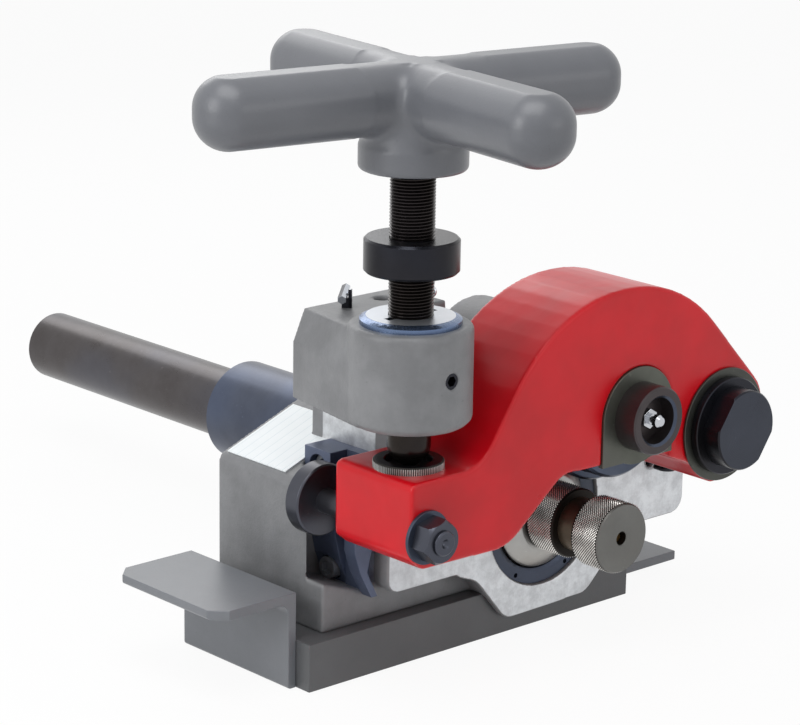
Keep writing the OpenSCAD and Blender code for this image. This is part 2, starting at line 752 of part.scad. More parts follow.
module arm_outline() {
  outline([[arm_tip, tip_top, 5], [-75, tip_top, 28], [-12, hump_top, hump_r],
           [101, hump_top, hump_r], [pivot_x + arm_end_r, pivot_z + 19, 24],
           [pivot_x + arm_end_r, pivot_z - arm_end_r, arm_end_r - 2],
           [pivot_x - 30, pivot_z - arm_end_r, 16], [pivot_x - 52, arm_arch, 12],
           [-3, arm_arch + 3, 20], [-50, tip_low, 32], [arm_tip + 10, tip_low + 1, 8],
           [arm_tip, tip_low + 9, 6]]);
}
arm_arch = 133;
chamber_r = rib_r + 4;
chamber_front = roll_front - 1.3;
chamber_back = roll_back + 1.3;
bush_t = 3;
pad_r = 21;
pad_sink = 1.5;
pad_h = 7;
pad_well = 15;
pad_floor = 2;
ball_gap = 0.5;
module swing_arm() {
  color("#c41f26") difference() {
    depth_y(arm_front, arm_back) arm_outline();
    // Chamber for the groove roll, open below
    rod_y(roll_x, roll_z, chamber_r, chamber_front, chamber_back);
    translate([roll_x - chamber_r, chamber_front, arm_arch - 20])
      cube([2 * chamber_r, chamber_back - chamber_front, roll_z - arm_arch + 20]);
    rod_y(roll_x, roll_z, roll_shaft_r + slip, arm_front - over, arm_back + over);
    rod_y(pivot_x, pivot_z, pivot_r + bush_t, arm_front - over, arm_back + over);
    rod_y(pivot_x, pivot_z, recess_r, arm_back - recess_depth, arm_back + over);
    spring_mouth();
    rod_y(stud_x, stud_z, stud_r + slip, arm_front - over, arm_back + over);
    rod_z(feed_x, feed_y, pad_r, tip_top - pad_sink, tip_top + over);
    keeper_cut();
  }
}
// Way out of the recess for the spring's lower leg
module spring_mouth() {
  mouth_w = 26;
  translate([hook_x - mouth_w / 2, arm_back - 8, pivot_z - arm_end_r - over])
    cube([mouth_w, 8 + over, arm_end_r - 8]);
}
keeper_r = 32.5;
keeper_t = 4;
keeper_proud = 1;
module keeper_shape(extra) {
  translate([roll_x, roll_z]) circle(keeper_r + extra);
  translate([roll_x - keeper_r - extra, arm_arch]) square([2 * (keeper_r + extra), roll_z - arm_arch]);
}
module keeper_cut() {
  intersection() {
    depth_y(arm_front - over, arm_front + keeper_t - keeper_proud)
      union() {
        keeper_shape(slip);
        translate([roll_x - keeper_r - slip, arm_arch - 5]) square([2 * (keeper_r + slip), 10]);
      }
    translate([0, arm_front - 2 * over, 0]) translate([arm_tip, 0, 0])
      cube([slab_right - arm_tip, keeper_t + 2 * over, hump_top]);
  }
}
module shaft_keeper() {
  color("#55564d") difference() {
    depth_y(arm_front - keeper_proud, arm_front + keeper_t - keeper_proud) keeper_shape(0);
    rod_y(roll_x, roll_z, roll_shaft_r + slip, arm_front - 2 * over, arm_front + keeper_t + over);
  }
}
sleeve_proud = 20;
roll_sleeve_r = 23;
roll_sleeve_in = 13.5;
sleeve_floor = 12;
module roll_shaft() {
  front = arm_front - keeper_proud - sleeve_proud;
  color("#2b2c2f") difference() {
    union() {
      turned_y(roll_x, roll_z, front,
        [[0, 0], [roll_sleeve_r - 1.5, 0], [roll_sleeve_r, 1.5], [roll_sleeve_r, sleeve_proud],
         [roll_shaft_r, sleeve_proud], [roll_shaft_r, arm_back - front - 1],
         [roll_shaft_r - 1, arm_back - front], [0, arm_back - front]]);
    }
    rod_y(roll_x, roll_z, roll_sleeve_in, front - over, front + sleeve_floor);
    rod_y(roll_x, roll_z, nipple_r, front, front + sleeve_floor + nipple_bite);
  }
}
nipple_r = 3;
nipple_bite = 7;
module grease_nipple() {
  base = arm_front - keeper_proud - sleeve_proud + sleeve_floor;
  color("#c6c8cb") union() {
    translate([roll_x, base, roll_z]) rotate([90, 0, 0]) hex_z(9, 4);
    turned_y(roll_x, roll_z, base - 11,
      [[0, 0], [1.6, 0], [3, 1.6], [3, 3.4], [1.9, 5], [3.4, 7.2], [3.4, 10], [0, 10]]);
    rod_y(roll_x, roll_z, nipple_r - slip, base - over, base + nipple_bite);
  }
}
module pivot_bush() {
  color("#a6864a") translate([pivot_x, arm_back - recess_depth, pivot_z]) rotate([90, 0, 0])
    difference() {
      cylinder(h = arm_back - arm_front - recess_depth, r = pivot_r + bush_t - slip);
      translate([0, 0, -over]) cylinder(h = arm_back - arm_front + over, r = pivot_r + slip);
    }
}
stud_washer_r = 17;
stud_washer_t = 2.6;
stud_nut_flats = 25;
stud_nut_h = 13;
stud_end = 2.5;
module guide_stud() {
  front = arm_front - stud_washer_t - stud_nut_h - stud_end;
  color("#3a414b") difference() {
    turned_y(stud_x, stud_z, front,
      [[0, 0], [stud_r - 1, 0], [stud_r, 1], [stud_r, disc_front - front],
       [disc_r - 1, disc_front - front], [disc_r, disc_front - front + 1],
       [disc_r, disc_back - front - 1], [disc_r - 1, disc_back - front], [0, disc_back - front]]);
    turned_y(stud_x, stud_z, front - over, [[0, 0], [3.2, 0], [3.2, over], [0, 5]]);
  }
}
module stud_washer() {
  color("#44494f") translate([stud_x, arm_front, stud_z]) rotate([90, 0, 0]) difference() {
    cylinder(h = stud_washer_t, r = stud_washer_r);
    translate([0, 0, -over]) cylinder(h = stud_washer_t + 2 * over, r = stud_r + slip);
  }
}
module stud_nut() {
  color("#4b515b") translate([stud_x, arm_front - stud_washer_t, stud_z]) rotate([90, 0, 0])
    difference() {
      intersection() {
        rotate([0, 0, 14]) hex_z(stud_nut_flats, stud_nut_h);
        translate([0, 0, -over])
          cylinder(h = stud_nut_h + over, r1 = stud_nut_flats * 0.95, r2 = stud_nut_flats * 0.5);
      }
      translate([0, 0, -over]) cylinder(h = stud_nut_h + 2 * over, r = stud_r + slip);
    }
}
module pressure_pad() {
  color("#b3b1ab") translate([feed_x, feed_y, tip_top - pad_sink]) difference() {
    cylinder(h = pad_h, r = pad_r - slip);
    translate([0, 0, pad_floor]) cylinder(h = pad_h, r = pad_well);
  }
}

// Groove roll

module groove_roll() {
  inner = roll_shaft_r + roll_bush_t;
  color("#6d7074") turned_y(roll_x, roll_z, roll_front,
    [[inner, 0], [flank_r - 2, 0], [flank_r, 2], [flank_r, (roll_w - rib_w) / 2],
     [rib_r - 1.5, (roll_w - rib_w) / 2 + 0.5], [rib_r, (roll_w - rib_w) / 2 + 2.5],
     [rib_r, (roll_w + rib_w) / 2 - 2.5], [rib_r - 1.5, (roll_w + rib_w) / 2 - 0.5],
     [flank_r, (roll_w + rib_w) / 2], [flank_r, roll_w - 2], [flank_r - 2, roll_w],
     [inner, roll_w]]);
}
roll_bush_t = 4;
module roll_bushing() {
  color("#a6864a") turned_y(roll_x, roll_z, roll_front,
    [[roll_shaft_r + slip, 0], [roll_shaft_r + roll_bush_t, 0],
     [roll_shaft_r + roll_bush_t, roll_w], [roll_shaft_r + slip, roll_w]]);
}

// Feed screw and its collar

screw_low = tip_top - pad_sink + pad_floor + ball_gap;
plain_top = yoke_low + 4;
hub_bore = 42;
module feed_screw() {
  color("#1c1a19") translate([feed_x, feed_y, screw_low]) union() {
    translate([0, 0, screw_end_r]) sphere(screw_end_r);
    translate([0, 0, screw_end_r]) cylinder(h = plain_top - screw_low - screw_end_r, r = screw_end_r);
    translate([0, 0, plain_top - screw_low - over])
      cylinder(h = hub_low + hub_bore - plain_top, r = screw_r);
  }
}
module depth_collar() {
  bevel = 1.5;
  color("#191a1c") difference() {
    translate([feed_x, feed_y, collar_low]) rotate_extrude()
      polygon([[screw_r + slip, 0], [collar_r - bevel, 0], [collar_r, bevel],
               [collar_r, collar_h - bevel], [collar_r - bevel, collar_h],
               [screw_r + slip, collar_h]]);
    translate([feed_x, feed_y, collar_low + collar_h / 2]) rotate([0, 90, -12])
      cylinder(h = collar_r + over, r = collar_set_r);
  }
}
collar_set_r = 4;
module collar_set_screw() {
  color("#2b2d30") translate([feed_x, feed_y, collar_low + collar_h / 2]) rotate([0, 90, -12])
    translate([0, 0, screw_r + near]) set_screw(collar_set_r, collar_r - screw_r - set_below - near);
}

// Cross handle

cross_span = cross_reach + 2 * cross_rz;
cross_flat = 1.5;
// Both arms of one bar, oval in section with an exact round end
module cross_bar() {
  rise = cross_rz - cross_ry;
  end_x = cross_reach + cross_ry;
  for (side = [-1, 1]) translate([-cross_reach, 0, side * rise]) rotate([0, 90, 0]) rotate_extrude()
    intersection() {
      union() {
        square([cross_ry, 2 * cross_reach]);
        circle(cross_ry);
        translate([0, 2 * cross_reach]) circle(cross_ry);
      }
      translate([0, -cross_ry]) square([cross_ry, 2 * end_x]);
    }
  translate([0, 0, -rise]) linear_extrude(2 * rise) union() {
    square([2 * cross_reach, 2 * cross_ry], center = true);
    for (end = [-1, 1]) translate([end * cross_reach, 0]) circle(cross_ry);
  }
}
hub_screw_up = 7.5;
module cross_handle() {
  color("#83878c") difference() {
    union() {
      translate([feed_x, feed_y, cross_z]) rotate([0, 0, cross_turn])
        for (turn = [0, 90]) rotate([0, 0, turn]) cross_bar();
      translate([feed_x, feed_y, hub_low]) rotate_extrude()
        polygon([[0, 0], [hub_r - 2, 0], [hub_r, 2], [hub_r, 14], [hub_r - 5, 30],
                 [hub_r - 7, cross_z - hub_low + 4], [0, cross_z - hub_low + 4]]);
    }
    translate([feed_x - cross_span, feed_y - cross_span, cross_z + cross_rz - cross_flat])
      cube([2 * cross_span, 2 * cross_span, cross_rz]);
    rod_z(feed_x, feed_y, screw_r + slip, hub_low - over, hub_low + hub_bore);
    translate([feed_x, feed_y, hub_low + hub_screw_up]) rotate([0, 90, 70]) cylinder(h = hub_r + over, r = set_r);
  }
}
module hub_set_screw() {
  color("#25272a") translate([feed_x, feed_y, hub_low + hub_screw_up]) rotate([0, 90, 70])
    translate([0, 0, screw_r + near]) set_screw(set_r, hub_r - screw_r - set_below - near);
}

base_bar();
left_rail_angle();
right_rail_angle();
base_screws();
frame_casting();
label_plate();
guide_block();
guide_block_screws();
feed_nut();
nut_set_screw();
gauge_hook();
eye_pin();
wire_ring();
pivot_bolt();
pivot_washer();
pivot_spacer();
return_spring();
front_bearing_outer();
front_bearing_balls();
front_bearing_inner();
rear_bearing_outer();
rear_bearing_balls();
rear_bearing_inner();
bearing_retainer();
rear_seal();
drive_shaft();
drive_roll();
drive_key();
draw_bolt();
shaft_sleeve();
sleeve_set_screw();
swing_arm();
pivot_bush();
roll_shaft();
shaft_keeper();
grease_nipple();
guide_stud();
stud_washer();
stud_nut();
pressure_pad();
groove_roll();
roll_bushing();
feed_screw();
depth_collar();
collar_set_screw();
cross_handle();
hub_set_screw();
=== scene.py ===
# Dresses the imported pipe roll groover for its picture: castings, threads, knurls, paint and steel.
import json
import math

import bmesh
import bpy
from mathutils import Matrix, Vector


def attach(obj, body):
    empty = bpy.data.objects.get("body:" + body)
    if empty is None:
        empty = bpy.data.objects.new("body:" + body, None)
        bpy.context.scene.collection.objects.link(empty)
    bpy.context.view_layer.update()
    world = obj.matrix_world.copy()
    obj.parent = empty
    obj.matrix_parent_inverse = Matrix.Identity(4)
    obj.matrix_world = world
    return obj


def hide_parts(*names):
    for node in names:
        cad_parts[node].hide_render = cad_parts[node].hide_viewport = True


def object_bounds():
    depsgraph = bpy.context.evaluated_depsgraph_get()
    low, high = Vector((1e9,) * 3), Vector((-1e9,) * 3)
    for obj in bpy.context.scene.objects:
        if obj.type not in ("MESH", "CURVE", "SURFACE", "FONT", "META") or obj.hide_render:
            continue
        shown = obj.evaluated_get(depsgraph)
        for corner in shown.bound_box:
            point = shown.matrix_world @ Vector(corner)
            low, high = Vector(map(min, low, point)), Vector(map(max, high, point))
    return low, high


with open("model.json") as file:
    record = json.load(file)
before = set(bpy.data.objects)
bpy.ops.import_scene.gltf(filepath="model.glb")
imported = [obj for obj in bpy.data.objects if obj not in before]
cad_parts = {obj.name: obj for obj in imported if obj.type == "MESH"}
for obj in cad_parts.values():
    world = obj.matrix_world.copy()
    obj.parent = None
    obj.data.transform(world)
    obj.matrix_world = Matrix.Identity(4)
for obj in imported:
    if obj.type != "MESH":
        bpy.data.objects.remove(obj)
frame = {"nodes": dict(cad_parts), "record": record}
cadBox = [list(corner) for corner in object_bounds()]
bodyOf = {node: body for body, nodes in frame["record"]["behaviour"]["bodies"].items() for node in nodes}
mm = 0.001

# Axes of the turned pieces in mm: (x, y) of those along Z, (x, z) of those along Y
screwAxis, driveAxis, rollAxis = (-107, -108), (56, 80), (64, 163)
pivotAxis, studAxis = (146, 142), (-121, 120)


def alongOf(centre):
    return "Z" if centre == screwAxis else "Y"


def picked(values, keys):
    return [values[key] for key in keys.split()]


# Camera, floor and lamps

camera = dict(
    turn=-42.31, rise=15.26, roll=0.89, away=1924.87, target=(-17.02, 0, 182.35), lens=131.29, film=36,
    near=0.05, far=50)


def linked(name, data):
    holder = bpy.data.objects.new(name, data)
    bpy.context.collection.objects.link(holder)
    return holder


def placeCamera():
    turn, rise, roll = map(math.radians, picked(camera, "turn rise roll"))
    back = Vector((math.sin(turn) * math.cos(rise), -math.cos(turn) * math.cos(rise), math.sin(rise)))
    right = (-back).cross(Vector((0, 0, 1))).normalized()
    up = right.cross(-back)
    side = right * math.cos(roll) + up * math.sin(roll)
    top = up * math.cos(roll) - right * math.sin(roll)
    lens = bpy.data.cameras.new("camera")
    lens.lens = camera["lens"]
    lens.sensor_width = camera["film"]
    lens.clip_start, lens.clip_end = camera["near"], camera["far"]
    holder = linked("camera", lens)
    holder.matrix_world = Matrix((side, top, back)).transposed().to_4x4()
    holder.location = (Vector(camera["target"]) + back * camera["away"]) * mm
    bpy.context.scene.camera = holder


lamps = {"over": {"at": (-0.5, -0.3, 1.5), "size": (1.2, 0.9), "watts": 11},
         "left": {"at": (-1.6, 0.1, 0.75), "size": (0.8, 1.0), "watts": 9},
         "front": {"at": (0.5, -1.8, 0.6), "size": (1.0, 0.7), "watts": 3},
         "behind": {"at": (0.6, 1.5, 1.1), "size": (1.2, 0.6), "watts": 5}}
lampAim = (0, 0, 0.15)
sky = dict(lit=((0.97, 0.98, 1.0, 1), 0.4), seen=((1, 1, 1, 1), 1.0))
floorPatch = dict(
    half=12.0, under=0.2, grain=(40, 4), dark=(246, 246, 246), light=(250, 250, 250), rough=0.9, glow=0.93,
    glowColour=(1, 1, 1, 1))


class Wire:
    # A shader socket that adds its Math nodes when it is used in a sum
    def __init__(self, finish, socket):
        self.finish = finish
        self.socket = socket

    def maths(self, operation, *others, swapped=False):
        values = [self, *others]
        if swapped:
            values.reverse()
        return self.finish.add("ShaderNodeMath", {"operation": operation}, *values)

    def __add__(self, other):
        return self.maths("ADD", other)

    def __sub__(self, other):
        return self.maths("SUBTRACT", other)

    def __rsub__(self, other):
        return self.maths("SUBTRACT", other, swapped=True)

    def __mul__(self, other):
        return self.maths("MULTIPLY", other)

    def __truediv__(self, other):
        return self.maths("DIVIDE", other)

    def __pow__(self, other):
        return self.maths("POWER", other)

    __radd__ = __add__
    __rmul__ = __mul__

    def ramp(self, low, high):
        # 0 below low, 1 above high, smooth between
        return self.finish.add("ShaderNodeMapRange", {"interpolation_type": "SMOOTHSTEP"}, self, low, high)

    def sway(self, share):
        # A noise of 0 to 1 as a swing to both sides of nothing
        return (self - 0.5) * share


class Finish:
    # One material and the nodes that are added to it
    def __init__(self, name):
        self.material = bpy.data.materials.new(name)
        self.material.use_nodes = True
        self.tree = self.material.node_tree
        self.shader = self.tree.nodes["Principled BSDF"]
        self.place = self.add("ShaderNodeTexCoord", None, out="Object")

    def feed(self, socket, value):
        if isinstance(value, Wire):
            self.tree.links.new(value.socket, socket)
        else:
            socket.default_value = value

    def add(self, kind, settings, *values, out=0, **named):
        node = self.tree.nodes.new(kind)
        for key, value in (settings or {}).items():
            setattr(node, key, value)
        for index, value in enumerate(values):
            self.feed(node.inputs[index], value)
        for key, value in named.items():
            self.feed(node.inputs[key], value)
        return Wire(self, node.outputs[out])

    def noise(self, scale, detail=3, rough=0.5, place=None):
        return self.add("ShaderNodeTexNoise", None, Vector=place or self.place, Scale=scale,
                        Detail=detail, Roughness=rough)

    def stretched(self, scale, centre=(0, 0, 0), turn=(0, 0, 0)):
        moved = self.add("ShaderNodeVectorMath", {"operation": "SUBTRACT"}, self.place, centre)
        return self.add("ShaderNodeMapping", None, moved, Rotation=turn, Scale=scale)

    def axes(self, place=None):
        node = self.add("ShaderNodeSeparateXYZ", None, place or self.place)
        outs = node.socket.node.outputs
        return [Wire(self, outs[index]) for index in range(3)]

    def spots(self):
        # The point's x, y and z in mm
        return [axis / mm for axis in self.axes()]

    def reach(self, centre):
        # Distance in mm from the axis through centre
        x, y, z = self.spots()
        first, second = x - centre[0], (z if alongOf(centre) == "Y" else y) - centre[1]
        return (first * first + second * second) ** 0.5

    def facing(self):
        normal = self.add("ShaderNodeNewGeometry", None, out="Normal")
        return self.axes(normal)

    def blend(self, factor, first, second):
        # Sockets 6, 7 and 2 are the colours of a Mix node
        node = self.tree.nodes.new("ShaderNodeMix")
        node.data_type = "RGBA"
        for index, value in ((0, factor), (6, first), (7, second)):
            self.feed(node.inputs[index], value)
        return Wire(self, node.outputs[2])

    def between(self, factor, dark, light):
        return self.blend(factor, tone(*dark), tone(*light))

    def bump(self, height, strength, depth, under=None):
        named = {"Height": height, "Strength": strength, "Distance": depth}
        if under is not None:
            named["Normal"] = under
        return self.add("ShaderNodeBump", None, **named)

    def grained(self, noise, bump, under=None):
        return self.bump(self.noise(*noise), *bump, under)

    def patched(self, colour, noise, ramp, share, over):
        # The colour with a share of another where a noise rises through the ramp
        return self.blend(self.noise(*noise).ramp(*ramp) * share, colour, tone(*over))

    def shade(self, **named):
        for key, value in named.items():
            self.feed(self.shader.inputs[key.replace("_", " ")], value)
        return self.material


def tone(red, green, blue):
    # A colour as it is seen on a screen, 0 to 255, made linear
    def linear(value):
        value = value / 255
        return value / 12.92 if value <= 0.04045 else ((value + 0.055) / 1.055) ** 2.4
    return (linear(red), linear(green), linear(blue), 1.0)


def looking(tree):
    # 1 on the rays that show the background: straight, mirrored or through glass
    path = tree.nodes.new("ShaderNodeLightPath")
    found = path.outputs["Is Camera Ray"]
    for name in ("Is Glossy Ray", "Is Transmission Ray"):
        either = tree.nodes.new("ShaderNodeMath")
        either.operation = "MAXIMUM"
        tree.links.new(found, either.inputs[0])
        tree.links.new(path.outputs[name], either.inputs[1])
        found = either.outputs[0]
    return found


def showApart(tree, share, lit, seen, end):
    # One shader lights the scene, the other shows by its share
    mix = tree.nodes.new("ShaderNodeMixShader")
    for index, source in enumerate((share, lit.outputs[0], seen.outputs[0])):
        tree.links.new(source, mix.inputs[index])
    tree.links.new(mix.outputs[0], tree.nodes[end].inputs[0])


def placeLights():
    for name, lamp in lamps.items():
        light = bpy.data.lights.new(name, "AREA")
        light.shape = "RECTANGLE"
        light.size, light.size_y = lamp["size"]
        light.energy = lamp["watts"]
        holder = linked(name, light)
        holder.location = lamp["at"]
        aim = Vector(lampAim) - holder.location
        holder.rotation_euler = aim.to_track_quat("-Z", "Y").to_euler()
    world = bpy.data.worlds.new("sky")
    bpy.context.scene.world = world
    world.use_nodes = True
    tree = world.node_tree
    lit, seen = tree.nodes["Background"], tree.nodes.new("ShaderNodeBackground")
    for node, values in ((lit, sky["lit"]), (seen, sky["seen"])):
        node.inputs[0].default_value, node.inputs[1].default_value = values
    showApart(tree, looking(tree), lit, seen, "World Output")
    bpy.context.scene.view_settings.view_transform = "Standard"


def layFloor():
    patch = floorPatch
    shape = bmesh.new()
    bmesh.ops.create_grid(shape, x_segments=2, y_segments=2, size=patch["half"])
    mesh = bpy.data.meshes.new("floor")
    shape.to_mesh(mesh)
    shape.free()
    mesh.transform(Matrix.Translation((0, 0, cadBox[0][2] - patch["under"] * mm)))
    slab = linked("floor", mesh)
    finish = Finish("paleFloor")
    colour = finish.between(finish.noise(*patch["grain"]), *picked(patch, "dark light"))
    finish.shade(Base_Color=colour, Roughness=patch["rough"])
    glow = finish.tree.nodes.new("ShaderNodeEmission")
    glow.inputs[0].default_value = patch["glowColour"]
    share = Wire(finish, looking(finish.tree)) * patch["glow"]
    showApart(finish.tree, share.socket, finish.shader, glow, "Material Output")
    mesh.materials.append(finish.material)


placeCamera()
placeLights()
layFloor()
print("camera, floor and lamps placed")


# Finishes. A noise is (scale, detail, roughness), a ramp is (low, high), a bump is (strength, depth in m).

# Light tone, dark tone, roughness, scale of the grain and its depth in m
paints = {
    "barPaint": ((92, 94, 96), (74, 75, 77), 0.42, 900, 0.00012),
    "railPaint": ((122, 125, 130), (104, 107, 112), 0.36, 1100, 0.00008),
    "handlePaint": ((105, 107, 112), (94, 96, 101), 0.36, 700, 0.00014),
}
paintLook = dict(
    cloud=(28, 4, 0.6), contrast=1.1, cloudRough=0.08, grain=(2, 0.6), grainRough=0.1, grainBump=0.5,
    broad=((130, 3), (0.12, 0.0003)), speckDark=0.7, speck=((420, 3, 0.7), (0.63, 0.72), 0.2), coat=0.12,
    coatRough=0.35)


def paint(name):
    (light, dark, rough, scale, depth), look = paints[name], paintLook
    finish = Finish(name)
    cloud, grain = finish.noise(*look["cloud"]), finish.noise(scale, *look["grain"])
    colour = finish.between(0.5 + cloud.sway(look["contrast"]), dark, light)
    colour = finish.patched(colour, *look["speck"], [value * look["speckDark"] for value in dark])
    return finish.shade(Base_Color=colour, Coat_Weight=look["coat"], Coat_Roughness=look["coatRough"],
                        Roughness=rough + cloud.sway(look["cloudRough"]) + grain.sway(look["grainRough"]),
                        Normal=finish.bump(grain, look["grainBump"], depth, finish.grained(*look["broad"])))


# The milled faces, in mm: the slab's front below top, and the label's pad on the left
machined = dict(
    front=-65.4, top=141, pad=-84, padBack=-0.3, padFront=-51.6, padTop=183, frontRamp=(0.72, 0.86),
    padRamp=(0.8, 0.9), padDepth=(1.2, 0.6), deep=(0, 0.3), topEdge=(-0.6, 0.6), padEdge=(-0.4, 0.4))
castLook = dict(
    cloud=(24, 4, 0.6), ramp=(0.3, 0.7), dark=(112, 113, 115), light=(132, 133, 135),
    pits=((300, 3, 0.7), (0.66, 0.74), 0.4, (84, 87, 90)), rough=0.44, cloudRough=0.16, skin=(520, 4, 0.65),
    skinBump=(0.55, 0.0004), broad=(110, 3), broadBump=(0.35, 0.0009))
millLook = dict(
    mottle=(95, 5, 0.72), ramp=(0.28, 0.72), dark=(182, 184, 187), light=(216, 219, 222),
    patch=((26, 3, 0.6), (0.54, 0.74), 0.35, (168, 170, 174)), run=(1, 0.2, 0.25), turn=(0, 0.5, 0),
    marks=190, distortion=2.0, detail=3, share=0.6, bump=(0.22, 0.0003), rough=0.3, mottleRough=0.22,
    metal=0.82)


def castingFinish():
    # Grey paint over a cast skin, with the two milled faces left bare
    cast, mill = castLook, millLook
    finish = Finish("castingPaint")
    x, y, z = finish.spots()
    across, forward = finish.facing()[:2]
    front = (0 - forward).ramp(*machined["frontRamp"]) * (machined["front"] - y).ramp(*machined["deep"])
    front = front * (machined["top"] - z).ramp(*machined["topEdge"])
    pad = (0 - across).ramp(*machined["padRamp"])
    pad = pad * (x - machined["pad"]).maths("ABSOLUTE").ramp(*machined["padDepth"])
    for inside in (machined["padBack"] - y, y - machined["padFront"], machined["padTop"] - z):
        pad = pad * inside.ramp(*machined["padEdge"])
    bare = front.maths("MAXIMUM", pad)
    cloud = finish.noise(*cast["cloud"])
    paintTone = finish.between(cloud.ramp(*cast["ramp"]), *picked(cast, "dark light"))
    paintTone = finish.patched(paintTone, *cast["pits"])
    mottle = finish.noise(*mill["mottle"])
    metalTone = finish.between(mottle.ramp(*mill["ramp"]), *picked(mill, "dark light"))
    metalTone = finish.patched(metalTone, *mill["patch"])
    marks = finish.add("ShaderNodeTexWave", {"wave_type": "BANDS", "bands_direction": "X"},
                       Vector=finish.stretched(mill["run"], turn=mill["turn"]), Scale=mill["marks"],
                       Distortion=mill["distortion"], Detail=mill["detail"])
    colour = finish.blend(bare, paintTone, metalTone)
    rough = (cast["rough"] + cloud.sway(cast["cloudRough"])) * (1 - bare)
    rough = rough + bare * (mill["rough"] + mottle * mill["mottleRough"])
    bump = finish.bump(finish.noise(*cast["skin"]) * (1 - bare), *cast["skinBump"])
    bump = finish.bump(finish.noise(*cast["broad"]) * (1 - bare), *cast["broadBump"], bump)
    bump = finish.bump((marks * mill["share"] + mottle) * bare, *mill["bump"], bump)
    return finish.shade(Base_Color=colour, Roughness=rough, Metallic=bare * mill["metal"], Normal=bump)


redLook = dict(
    cloud=(18, 3, 0.6), ramp=(0.3, 0.7), dark=(196, 6, 20), light=(212, 8, 26),
    dust=((1500, 2, 0.6), (0.62, 0.8), 0.12, (140, 10, 18)), rough=0.3, cloudRough=0.12,
    broad=((30, 2, 0.4), (0.3, 0.0022)), peel=((85, 2, 0.5), (0.22, 0.0006)), coat=0.12, coatRough=0.2,
    glint=0.3)


def redEnamel():
    look = redLook
    finish = Finish("redEnamel")
    cloud = finish.noise(*look["cloud"])
    colour = finish.between(cloud.ramp(*look["ramp"]), *picked(look, "dark light"))
    colour = finish.patched(colour, *look["dust"])
    wavy = finish.grained(*look["peel"], finish.grained(*look["broad"]))
    return finish.shade(Base_Color=colour, Roughness=look["rough"] + cloud.sway(look["cloudRough"]),
                        Normal=wavy, Coat_Weight=look["coat"], Coat_Roughness=look["coatRough"],
                        Specular_IOR_Level=look["glint"])


# Light tone, dark tone, tint, roughness and metalness
steels = {
    "shaftSteel": ((92, 89, 90), (66, 61, 60), (84, 87, 98), 0.3, 0.85),
    "sleeveSteel": ((88, 94, 108), (62, 66, 78), (80, 92, 118), 0.32, 0.85),
    "nutSteel": ((88, 88, 92), (62, 62, 67), (70, 76, 92), 0.32, 0.85),
    "nutTop": ((206, 208, 212), (172, 176, 182), (186, 192, 202), 0.34, 0.85),
    "nutRim": ((112, 130, 160), (90, 106, 136), (100, 118, 152), 0.26, 0.9),
    "blueBlack": ((72, 77, 88), (50, 54, 63), (62, 72, 94), 0.38, 0.7),
    "blueGrey": ((84, 92, 108), (56, 62, 76), (76, 88, 114), 0.32, 0.85),
    # screwHead is the screws' own light grey, painted lighter still: painted light against the shade the screws
    # sit in
    "screwHead": ((158, 161, 166), (112, 115, 121), (130, 134, 144), 0.42, 0.5),
    # legBlue is blueBlack painted lighter: painted light that stands in for light on the leg, which sits in
    # shade in its pocket
    "legBlue": ((98, 108, 132), (70, 78, 98), (84, 96, 126), 0.42, 0.45),
    "boltFace": ((62, 66, 76), (46, 49, 57), (54, 58, 70), 0.3, 0.75),
    "washerSteel": ((82, 84, 78), (56, 58, 54), (72, 72, 70), 0.36, 0.8),
    "blackOxide": ((44, 42, 44), (22, 21, 23), (44, 48, 60), 0.3, 0.8),
    "screwBlack": ((52, 46, 42), (24, 21, 20), (60, 56, 60), 0.24, 0.85),
    "sleeveBlack": ((78, 70, 70), (56, 53, 55), (70, 74, 84), 0.36, 0.75),
    "keeperSteel": ((104, 106, 98), (74, 76, 70), (92, 92, 88), 0.42, 0.8),
    "bareSteel": ((182, 182, 180), (134, 134, 134), (160, 152, 140), 0.32, 0.92),
    "brightZinc": ((214, 216, 220), (168, 171, 178), (190, 196, 206), 0.18, 0.98),
    "oldBronze": ((178, 142, 88), (122, 94, 56), (150, 120, 80), 0.34, 0.95),
    "grooveSteel": ((134, 122, 104), (92, 82, 70), (116, 100, 84), 0.4, 0.85),
    "faceSteel": ((118, 118, 115), (92, 92, 90), (104, 102, 98), 0.44, 0.75),
}
steelLook = dict(
    cloud=(34, 4, 0.62), contrast=1.2, cloudRough=0.1, fine=(600, 3, 0.6), fineRough=0.1,
    fineBump=(0.12, 0.00008), tint=((12, 2, 0.5), (0.42, 0.66), 0.4),
    rub=((160, 4, 0.75), (0.64, 0.72), 0.2), rubGain=1.25, rubLift=14)
scratchLook = dict(noise=(260, 2, 0.5), run=(1, 9, 1), turn=(0.3, 0.2, 0.7), bump=(0.1, 0.0002))
ringLook = dict(
    marks=1400 / 6, distortion=0.6, detail=2, laps=(24, 2, 0.5), length=30, share=0.5, bump=(0.12, 0.00022))
madeFinishes = {}


def lathed(finish, centre):
    # Rings about the axis through centre (mm), and slow laps along it
    ring, along = ringLook, alongOf(centre)
    spot, length = [centre[0] * mm, centre[1] * mm], [1, 1]
    spot.insert("XYZ".index(along), 0)
    length.insert("XYZ".index(along), ring["length"])
    rings = finish.add("ShaderNodeTexWave", {"wave_type": "RINGS", "rings_direction": along},
                       Vector=finish.stretched((1, 1, 1), centre=spot), Scale=ring["marks"],
                       Distortion=ring["distortion"], Detail=ring["detail"])
    laps = finish.noise(*ring["laps"], finish.stretched(length, centre=spot))
    return finish.bump(rings * ring["share"] + laps * ring["share"], *ring["bump"])


